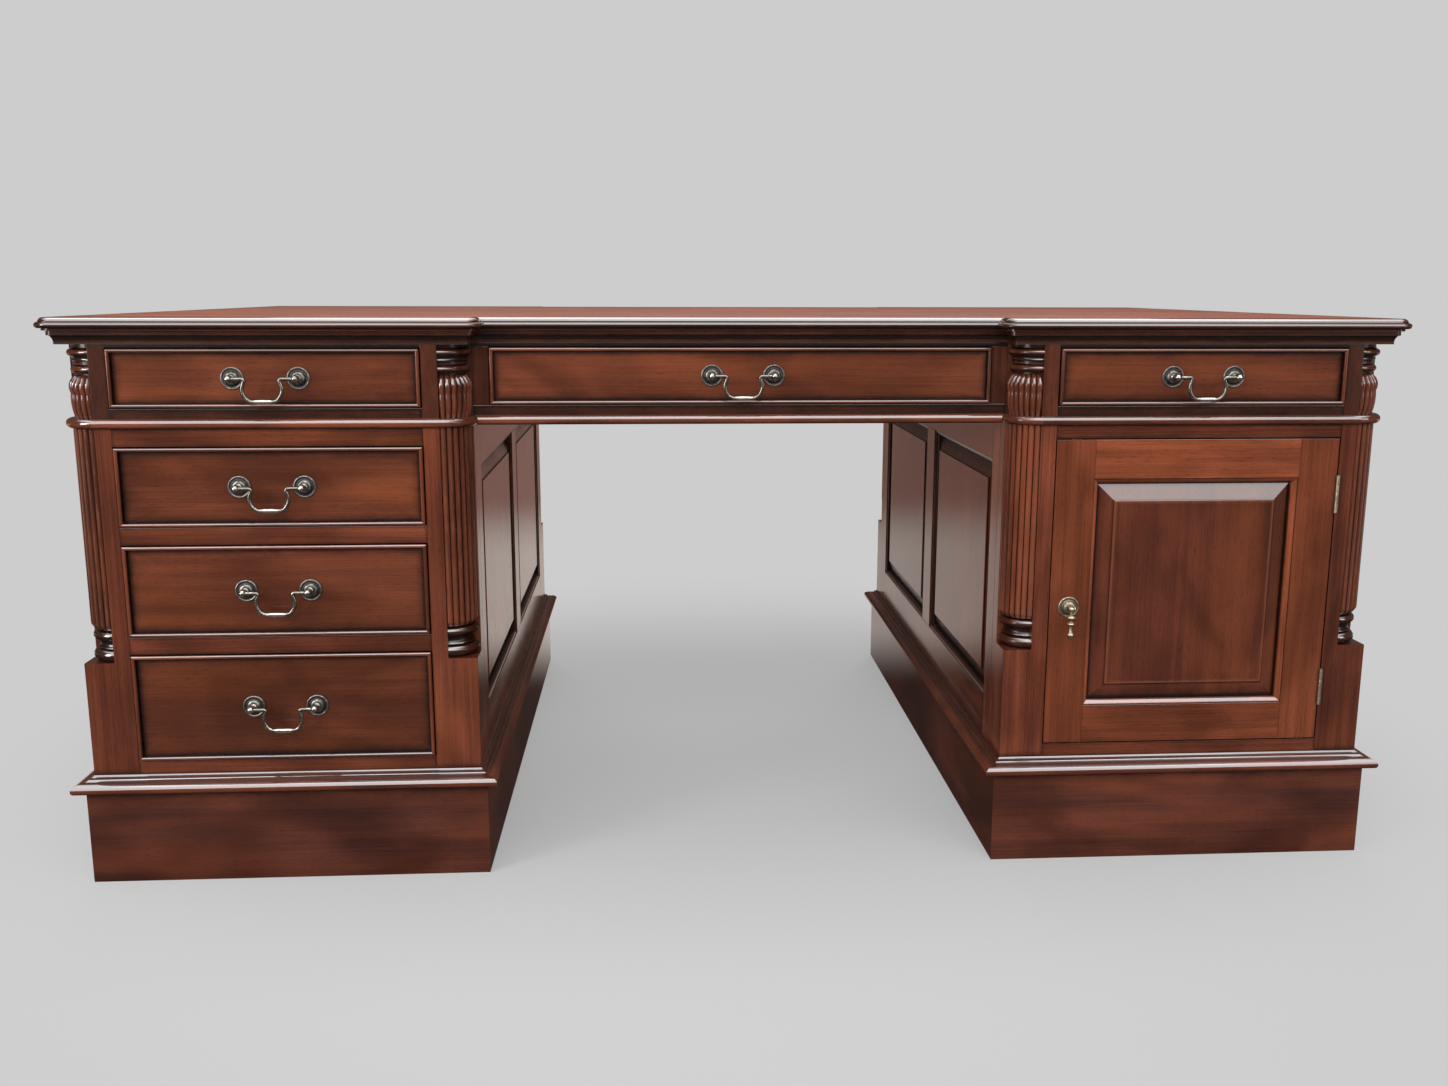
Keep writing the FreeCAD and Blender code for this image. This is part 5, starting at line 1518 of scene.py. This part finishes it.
@dataclass(frozen=True)
class Drawer:
    """A drawer: figured front, mitred cock beads, box and pull."""

    gap: float = 0.0012
    recess: float = 0.003
    front_thickness: float = 0.020
    bead_width: float = 0.005
    bead_rise: float = 0.004
    wall: float = 0.012
    bottom: float = 0.006
    bottom_rise: float = 0.0073
    headroom: float = 0.009
    side_gap: float = 0.001
    floor_gap: float = 0.0003
    rear: float = -0.039

    def spaces(self) -> list[DrawerSpace]:
        """The six openings of the front.

        Returns:
            Their places, sizes and tones.
        """
        s = SIZES
        x0, x1 = s.opening
        centre = s.half_knee - s.centre_stile
        left = (-x1, -x0)
        return [DrawerSpace("left_frieze", left, s.frieze_floor, s.frieze_head, s.front),
                DrawerSpace("centre_frieze", (-centre, centre), s.frieze_floor, s.frieze_head, s.centre_face),
                DrawerSpace("right_frieze", (x0, x1), s.frieze_floor, s.frieze_head, s.front, 0.5),
                DrawerSpace("top", left, s.top_floor, s.top_head, s.front, 0.48),
                DrawerSpace("middle", left, s.middle_floor, s.middle_head, s.front, 0.52),
                DrawerSpace("bottom", left, s.bottom_floor, s.bottom_head, s.front, 0.2)]

    def front(self, shape: Shape, space: DrawerSpace) -> None:
        """Adds the front: a stack of rectangles whose relief fades from the beads to the middle, laying glaze
        and painted shade in the recess next to the beads.

        Args:
            shape: Shape that gets it.
            space: Opening that the drawer fills.
        """
        half = tuple(size - self.bead_width for size in space.half(self.gap))
        steps = [(0.0, -self.front_thickness, 0.0), (0.0, -0.0004, -1.0), (0.0003, 0.0, -1.0),
                 (0.002, 0.0, -0.75), (0.006, 0.0, -0.40), (0.013, 0.0, -0.16), (0.028, 0.0, 0.0)]
        shape.stacked(space.middle(self.recess), half, steps, -Y_WAY, Grain.ALONG_X, space.tone)

    def beads(self, shape: Shape, space: DrawerSpace) -> None:
        """Adds the cock beads: a half round on a flat stem, mitred at the corners.

        Args:
            shape: Shape that gets them.
            space: Opening that the drawer fills.
        """
        back, spring = -self.recess - self.front_thickness, self.bead_rise - self.bead_width / 2
        profile = bowed([(-self.bead_width, back, 0), (0, back, 0), (0, -0.002, 0), (0, spring, HALF_ROUND),
                         (-self.bead_width, spring, 0), (-self.bead_width, -self.recess, 0)], 8)
        # Relief: wear and a painted highlight on the bead's crest, painted shade at its foot.
        relief = np.clip(2.0 * (profile[:, 1] - spring) / (self.bead_width / 2) - 0.9, -1, 0.45)
        corners = face_corners(space.middle(), *space.half(self.gap), -Y_WAY)
        shape.mitred(profile, corners, -Y_WAY, relief)

    def box(self, shape: Shape, space: DrawerSpace) -> None:
        """Adds the sides, back and bottom behind the front.

        Args:
            shape: Shape that gets them.
            space: Opening that the drawer fills.
        """
        start = space.face + self.recess + self.front_thickness
        x0, x1 = space.x_ends[0] + self.side_gap, space.x_ends[1] - self.side_gap
        low, high = space.floor + self.floor_gap, space.head - self.headroom
        shelf = low + self.bottom_rise - self.floor_gap
        inner0, inner1 = x0 + self.wall, x1 - self.wall
        shape.board((x0, start, low), (inner0, self.rear, high), Grain.ALONG_Y, edge=0.2)
        shape.board((inner1, start, low), (x1, self.rear, high), Grain.ALONG_Y, edge=0.2)
        shape.board((inner0, self.rear - self.wall, shelf + self.bottom), (inner1, self.rear, high),
                    Grain.ALONG_X, edge=0.2)
        shape.board((inner0, start, shelf), (inner1, self.rear, shelf + self.bottom), Grain.ALONG_X)

    def build(self) -> None:
        """Builds the twelve drawers with their pulls."""
        for side in Side:
            turned_round = side is Side.BACK
            for space in self.spaces():
                body = f"{side.value}_{space.name}_drawer"
                middle = space.middle(self.recess)
                front = Shape(body + "_front", turned_round)
                self.front(front, space)
                front.piece(body, FIELD, body, sharp=0.3)
                beads = Shape(body + "_cock_beads", turned_round)
                self.beads(beads, space)
                beads.piece(body, CASE, sharp=0.6)
                box = Shape(body + "_box", turned_round)
                self.box(box, space)
                box.piece(body, INNER, sharp=0.5)
                plates = Shape(body + "_rosettes", turned_round)
                posts = Shape(body + "_ball_posts", turned_round)
                PULL.plates(plates, posts, middle)
                plates.piece(body, BRONZE, body + "_pull_plates", sharp=0.9)
                posts.piece(body, RUBBED, sharp=0.9)
                bail = Shape(body + "_swan_neck", turned_round)
                PULL.bail(bail, middle - PULL.standoff * Y_WAY)
                bail.piece(body + "_bail", RUBBED, body + "_bail", sharp=0.9)


@dataclass(frozen=True)
class CupboardDoor:
    """A cupboard door: framed raised panel, butt hinges, ball catch and a pendant drop."""

    gap: float = 0.0015
    thickness: float = 0.022
    stile: float = 0.055
    bead_glaze_and_shade: float = 0.45
    hinge_height: float = 0.053
    hinge_inset: float = 0.080
    leaf_width: float = 0.020
    leaf_thickness: float = 0.0012
    leaf_arris: float = 0.0002
    knuckle: float = 0.0025
    knuckle_share: float = 0.36
    clearance: float = 0.0004
    catch_radius: float = 0.004
    catch_length: float = 0.014
    catch_rise: float = 0.0009
    rosette: float = 0.015
    rosette_height: float = 0.004
    drop_inset: float = 0.027
    drop_height: float = 0.37601
    standoff: float = 0.015
    stem: float = 0.0028
    cheek: float = 0.0044
    cheek_gap: float = 0.0056
    cheek_thickness: float = 0.002
    pin: float = 0.0015
    eye: float = 0.0038
    eye_length: float = 0.0048
    drop_length: float = 0.041
    drop_radius: float = 0.0054
    drop_shares: Outline = ((0.0, 1.0, 0.2), (0.96, 0.91, 0.15), (0.90, 0.86, -0.1), (0.46, 0.58, 0.0),
                            (0.78, 0.55, 0.4), (0.78, 0.47, 0.0), (0.50, 0.44, -0.1), (0.60, 0.34, 0.0),
                            (1.0, 0.31, 0.4), (1.0, 0.25, 0.0), (0.42, 0.19, 0.0), (0.36, 0.04, 0.0))

    @property
    def ends(self) -> tuple[Ends, Ends]:
        """Outer ends of the front door along X and Z."""
        x0, x1 = SIZES.opening
        return (x0 + self.gap, x1 - self.gap), (SIZES.bottom_floor + self.gap, SIZES.cupboard_head - self.gap)

    def frame(self, shape: Shape, panel: Shape) -> None:
        """Adds the framing and the raised panel.

        Args:
            shape: Shape that gets stiles, rails and panel beads.
            panel: Shape that gets the panel.
        """
        (x0, x1), (z0, z1) = self.ends
        y0, y1 = SIZES.front, SIZES.front + self.thickness
        a, b, c, d = x0 + self.stile, x1 - self.stile, z0 + self.stile, z1 - self.stile
        for low, high, grain, tone in (
            ((x0, z0), (a, z1), Grain.ALONG_Z, 0.45),
            ((b, z0), (x1, z1), Grain.ALONG_Z, 0.08),
            ((a, z0), (b, c), Grain.ALONG_X, 0.25),
            ((a, d), (b, z1), Grain.ALONG_X, 1.0),
        ):
            shape.board((low[0], y0, low[1]), (high[0], y1, high[1]), grain, edge=-0.22, margin=0.003,
                        tone=tone)
        centre, half = np.array([(a + b) / 2, y0, (c + d) / 2]), ((b - a) / 2, (d - c) / 2)
        # Relief taken off the door's panel beads: painted shade.
        PANEL_WORK.beads(shape, centre, half, -Y_WAY, self.bead_glaze_and_shade)
        PANEL_WORK.panel(panel, centre, half, -Y_WAY)

    def hinges(self, shape: Shape) -> None:
        """Adds the moving hinge leaves and their knuckles.

        Args:
            shape: Shape that gets them.
        """
        _, x1 = self.ends[0]
        y0 = SIZES.front
        axis = np.array([SIZES.opening[1] - self.gap / 2, y0 - self.knuckle - self.clearance, 0.0])
        half = self.hinge_height * self.knuckle_share / 2 - self.clearance
        barrel = np.array([(0, -half), (0.8 * self.knuckle, -half), (self.knuckle, -half + 0.0006),
                           (self.knuckle, half - 0.0006), (0.8 * self.knuckle, half), (0, half)])
        for z in (SIZES.bottom_floor + self.hinge_inset, SIZES.cupboard_head - self.hinge_inset):
            leaf_x = x1 - self.leaf_thickness
            tall = self.hinge_height / 2
            shape.board((leaf_x, y0, z - tall), (x1, y0 + self.leaf_width, z + tall), Grain.ALONG_Z,
                        self.leaf_arris)
            shape.board((leaf_x, axis[1], z - half), (x1, y0 + 0.001, z + half), Grain.ALONG_Z,
                        self.leaf_arris)
            # The knuckles' high relief paints them brighter: a painted highlight.
            shape.turned(barrel, axis + z * Z_WAY, Z_WAY, 20, np.full(len(barrel), 0.8))

    def catch(self, shape: Shape) -> None:
        """Adds the ball catch on the door's head.

        Args:
            shape: Shape that gets it.
        """
        (x0, _), (_, z1) = self.ends
        place = np.array([x0 + self.stile / 2, SIZES.front + self.thickness / 2, z1])
        crown = np.linspace(0, 1, 6) * math.pi / 2
        ball = np.column_stack([self.catch_radius * np.cos(crown), self.catch_rise * np.sin(crown)])
        barrel = [[0, -self.catch_length], [self.catch_radius, -self.catch_length]]
        shape.turned(np.vstack([barrel, ball]), place, Z_WAY)

    def mount(self, shape: Shape) -> None:
        """Adds the drop's rosette, stem, cheeks and pin.

        Args:
            shape: Shape that gets them.
        """
        (x0, _), _ = self.ends
        y0 = SIZES.front
        base = np.array([x0 + self.drop_inset, y0, self.drop_height])
        rosette = scaled(PULL.rosette_shares, self.rosette, self.rosette_height)
        rosette = np.vstack([[[0, 0]], rosette, [[0, self.rosette_height]]])
        shape.turned(rosette, base, -Y_WAY, 36)
        bridge = self.standoff - self.cheek - 0.002
        stem = bowed([(0, -self.thickness, 0), (self.stem, -self.thickness, 0), (self.stem, 0, 0),
                      (0.0095, 0.003, 0.22), (0.0045, bridge, 0), (0, bridge + 0.001, 0)], 8)
        shape.turned(stem, base, -Y_WAY)
        pivot = base - self.standoff * Y_WAY
        reach = self.cheek_gap / 2 + self.cheek_thickness
        disc = np.array([(0, 0), (self.cheek - 0.0005, 0), (self.cheek, 0.0004),
                         (self.cheek, self.cheek_thickness - 0.0007),
                         (self.cheek - 0.001, self.cheek_thickness), (0, self.cheek_thickness)])
        for way in (-1, 1):
            shape.turned(disc, pivot + way * self.cheek_gap / 2 * X_WAY, way * X_WAY, 24)
            low = pivot + np.array([way * self.cheek_gap / 2, 0, -0.0033])
            high = base + np.array([way * reach, -bridge + 0.002, 0.0033])
            shape.board(low, high, Grain.ALONG_Y, radius=0.0005, edge=0.2)
        low = base + np.array([-reach, -bridge + 0.002, -0.0035])
        high = base + np.array([reach, -bridge, 0.0035])
        shape.board(low, high, Grain.ALONG_X, edge=0.2)
        pin = np.array([(0, 0), (self.pin, 0), (self.pin, self.cheek_gap), (0, self.cheek_gap)])
        shape.turned(pin, pivot - self.cheek_gap / 2 * X_WAY, X_WAY, 14)

    def pendant(self, shape: Shape) -> None:
        """Adds the drop: an eye on the pin, a collar, a ring and a bell.

        Args:
            shape: Shape that gets it.
        """
        (x0, _), _ = self.ends
        pivot = np.array([x0 + self.drop_inset, SIZES.front - self.standoff, self.drop_height])
        outline = scaled(self.drop_shares, self.drop_radius, -self.drop_length)
        # The raised relief paints the drop brighter: a painted highlight.
        shape.turned(outline, pivot, Z_WAY, 24, 0.4 * turning(outline, 0.6) + 0.5)
        half = self.eye_length / 2
        bore = self.pin + 0.0003
        ring = np.array([(bore, -half), (self.eye - 0.0006, -half), (self.eye, 0.0006 - half),
                         (self.eye, half - 0.0006), (self.eye - 0.0006, half), (bore, half)])
        angle = np.linspace(0, 2 * math.pi, 24, endpoint=False)
        ways = np.stack([0 * angle, np.cos(angle), np.sin(angle)], axis=-1)
        origins = np.repeat(pivot[None], 24, axis=0)
        shape.run(ring, origins, ways, X_WAY, Grain.ALONG_X, looped=True)

    def build(self) -> None:
        """Builds both doors."""
        for side in Side:
            body = side.value + "_cupboard_door"
            turned_round = side is Side.BACK
            frame_shape = Shape(body + "_framing", turned_round)
            panel = Shape(body + "_fielded_panel", turned_round)
            self.frame(frame_shape, panel)
            frame_shape.piece(body, DOOR, body + "_frame", sharp=0.5)
            panel.piece(body, PANEL, body + "_panel", sharp=0.18)
            fittings = Shape(body + "_metalwork", turned_round)
            self.hinges(fittings)
            self.catch(fittings)
            self.mount(fittings)
            fittings.piece(body, BRASS, body + "_fittings", sharp=0.7)
            drop = Shape(body + "_pendant", turned_round)
            self.pendant(drop)
            drop.piece(body + "_drop", BRASS, body + "_drop", sharp=0.8)


@dataclass(frozen=True)
class PlainNodes:
    """CAD nodes whose shape is right: they keep their meshes and get wood or metal of their own."""

    woods: tuple[tuple[str, Grain], ...] = (("drawer_runners", Grain.ALONG_Y),
                                            ("cupboard_shelves", Grain.ALONG_X),
                                            ("plinth_corner_blocks", Grain.ALONG_Z))
    metals: tuple[str, ...] = ("hinge_leaves_and_strikes",)
    tone: float = 0.5

    def dress(self, node: str, grain: Grain, finish: Finish, relief: float) -> None:
        """Gives a node the attributes that the finishes read, and its material.

        Args:
            node: Name of the CAD node.
            grain: Way of its fibres.
            finish: Finish that it gets.
            relief: Relief of the whole node.
        """
        mesh = frame["nodes"][node].data
        places = np.empty(3 * len(mesh.vertices), np.float32)
        mesh.vertices.foreach_get("co", places)
        axis = grain.value
        wood = places.reshape(-1, 3)[:, [axis, (axis + 1) % 3, (axis + 2) % 3]]
        mesh.attributes.new("grain", "FLOAT_VECTOR", "POINT").data.foreach_set("vector", wood.ravel())
        for name, value in (("relief", relief), ("tone", self.tone)):
            layer = mesh.attributes.new(name, "FLOAT", "POINT")
            layer.data.foreach_set("value", np.full(len(wood), value, np.float32))
        mesh.materials.clear()
        mesh.materials.append(finish.material())
        LOG.info("%s keeps its CAD mesh", node)

    def build(self) -> None:
        """Dresses every plain node."""
        for node, grain in self.woods:
            self.dress(node, grain, INNER, 0.0)
        for node in self.metals:
            # The hinge leaves' high relief paints them brighter: a painted highlight.
            self.dress(node, Grain.ALONG_Z, BRASS, 0.9)


@dataclass(frozen=True)
class Lamp:
    """A rectangular area lamp that faces a target."""

    name: str
    place: Place
    target: Place
    size: Ends
    power: float
    mirrored: bool = True

    def build(self) -> None:
        """Makes the lamp."""
        data = bpy.data.lights.new(self.name, "AREA")
        data.shape = "RECTANGLE"
        data.size, data.size_y = self.size
        data.energy = self.power
        lamp = bpy.data.objects.new(self.name, data)
        bpy.context.scene.collection.objects.link(lamp)
        lamp.location = self.place
        lamp.visible_glossy = self.mirrored
        aim = Matrix.Translation(self.target).translation - lamp.location
        lamp.rotation_euler = aim.to_track_quat("-Z", "Y").to_euler()


@dataclass(frozen=True)
class Studio:
    """Pale floor and surround, soft lamps, and the camera at the photograph's place."""

    pale: Colour = (0.610, 0.610, 0.610, 1.0)
    paint: Colour = (0.545, 0.545, 0.545, 1.0)
    ambient: float = 0.30
    dusk: Colour = (0.090, 0.062, 0.055, 1.0)
    sky: Colour = (3.300, 3.300, 3.400, 1.0)
    sky_span: Ends = (0.60, 0.88)
    under_span: Ends = (-0.75, -0.45)
    sheet_span: Ends = (0.3, 0.8)
    room_span: Ends = (1.6, 2.8)
    # Colours that only glossy rays see on the floor: painted shade in front and under the desk, painted sheet
    # and room.
    shade: Colour = (0.200, 0.180, 0.172, 1.0)
    under: Colour = (0.040, 0.028, 0.025, 1.0)
    sheet_reflection: Colour = (0.760, 0.660, 0.600, 1.0)
    room_reflection: Colour = (0.360, 0.205, 0.172, 1.0)
    glow: float = 0.47
    fade: Ends = (0.75, 1.45)
    floor_half: float = 60.0
    sensor: float = 36.0
    lens: float = 31.664
    shift: Ends = (-0.008457, -0.014303)
    place: Place = (-0.11909, -2.24120, 0.81879)
    yaw: float = 0.0625
    pitch: float = -0.1816
    roll: float = 0.0027
    lamps: tuple[Lamp, ...] = (
        Lamp("front_sky", (0.0, -2.95, 2.15), (0.0, -0.5, 0.35), (6.0, 2.0), 112.0),
        Lamp("overhead", (0.0, -0.2, 3.0), (0.0, -0.1, 0.6), (4.0, 1.4), 40.0),
        Lamp("front_left", (-2.9, -2.4, 1.2), (0.2, -0.3, 0.4), (1.0, 1.4), 66.0),
        Lamp("front_right", (2.9, -2.4, 1.2), (-0.2, -0.3, 0.4), (1.0, 1.4), 16.0),
        Lamp("behind", (0.15, 2.7, 3.3), (0.0, 0.2, 0.5), (4.0, 1.2), 55.0),
        Lamp("back_fill", (0.0, 3.2, 1.9), (0.0, 0.5, 0.4), (4.0, 1.5), 30.0, mirrored=False),
    )

    def surround(self) -> None:
        """Makes the world: pale grey as seen, dim as mirrored but for the sky, and soft as diffuse light."""
        world = bpy.data.worlds.new("pale_surround")
        world.use_nodes = True
        bpy.context.scene.world = world
        tree = world.node_tree
        path = put(tree, "ShaderNodeLightPath")
        seen = maths(tree, "MAXIMUM", path.outputs["Is Camera Ray"], path.outputs["Is Transmission Ray"])
        way = put(tree, "ShaderNodeTexCoord").outputs["Generated"]
        height = put(tree, "ShaderNodeSeparateXYZ", {0: way}).outputs[2]
        mirrored = mixed(tree, span(tree, height, *self.sky_span), self.dusk, self.sky)
        glossy = path.outputs["Is Glossy Ray"]
        strength = maths(tree, "MAXIMUM", maths(tree, "MAXIMUM", seen, glossy), self.ambient)
        back = tree.nodes["Background"]
        tree.links.new(mixed(tree, glossy, self.pale, mirrored), back.inputs["Color"])
        tree.links.new(strength, back.inputs["Strength"])

    def floor(self) -> None:
        """Makes the floor: matte paint that takes the desk's shadow, fading into the surround's grey far out.

        The polish mirrors it as painted reflections: painted shade in front, darker painted shade under the
        desk, a pale sheet behind it and a warm room beyond, both painted.
        """
        h = self.floor_half
        mesh = bpy.data.meshes.new("pale_floor")
        mesh.from_pydata([(-h, -h, 0), (h, -h, 0), (h, h, 0), (-h, h, 0)], [], [(0, 1, 2, 3)])
        floor = bpy.data.objects.new("pale_floor", mesh)
        bpy.context.scene.collection.objects.link(floor)
        material = bpy.data.materials.new("pale_floor_paint")
        material.use_nodes = True
        tree = material.node_tree
        tree.nodes.clear()
        path = put(tree, "ShaderNodeLightPath")
        seen = maths(tree, "MAXIMUM", path.outputs["Is Camera Ray"], path.outputs["Is Transmission Ray"])
        glossy = path.outputs["Is Glossy Ray"]
        place = put(tree, "ShaderNodeTexCoord").outputs["Object"]
        away = put(tree, "ShaderNodeVectorMath", {0: place}, operation="LENGTH").outputs["Value"]
        share = maths(tree, "MULTIPLY_ADD", seen, span(tree, away, *self.fade, self.glow, 1.0), glossy)
        depth = put(tree, "ShaderNodeSeparateXYZ", {0: place}).outputs[1]
        mirrored = mixed(tree, span(tree, depth, *self.under_span), self.shade, self.under)
        mirrored = mixed(tree, span(tree, depth, *self.sheet_span), mirrored, self.sheet_reflection)
        mirrored = mixed(tree, span(tree, depth, *self.room_span), mirrored, self.room_reflection)
        colour = mixed(tree, glossy, self.pale, mirrored)
        matte = put(tree, "ShaderNodeBsdfDiffuse", {"Color": self.paint})
        glow = put(tree, "ShaderNodeEmission", {"Color": colour, "Strength": 1.0})
        blend = put(tree, "ShaderNodeMixShader", {0: share, 1: matte.outputs[0], 2: glow.outputs[0]})
        put(tree, "ShaderNodeOutputMaterial", {"Surface": blend.outputs[0]})
        mesh.materials.append(material)

    def build(self) -> None:
        """Makes the surround, floor, lamps and camera."""
        scene = bpy.context.scene
        scene.view_settings.view_transform = "Standard"
        self.surround()
        self.floor()
        for lamp in self.lamps:
            lamp.build()
        data = bpy.data.cameras.new("photo_camera")
        data.sensor_width = self.sensor
        data.lens = self.lens
        data.shift_x, data.shift_y = self.shift
        camera = bpy.data.objects.new("photo_camera", data)
        scene.collection.objects.link(camera)
        turn = (Matrix.Rotation(-self.yaw, 4, "Z") @ Matrix.Rotation(math.pi / 2 + self.pitch, 4, "X")
                @ Matrix.Rotation(self.roll, 4, "Z"))
        camera.matrix_world = Matrix.Translation(self.place) @ turn
        scene.camera = camera


def main() -> None:
    """Builds the desk's pieces in order, then the studio."""
    logging.basicConfig(level=logging.INFO, format="%(message)s")
    top = TopAndCornice()
    top.board()
    top.cornice()
    columns = Columns()
    columns.build()
    columns.beads()
    case = FriezeAndCase()
    case.frieze()
    case.case()
    for assembly in (Pedestal(), Plinth(), Drawer(), CupboardDoor(), PlainNodes(), Studio()):
        assembly.build()
    bpy.context.view_layer.update()


if __name__ == "__main__":
    main()
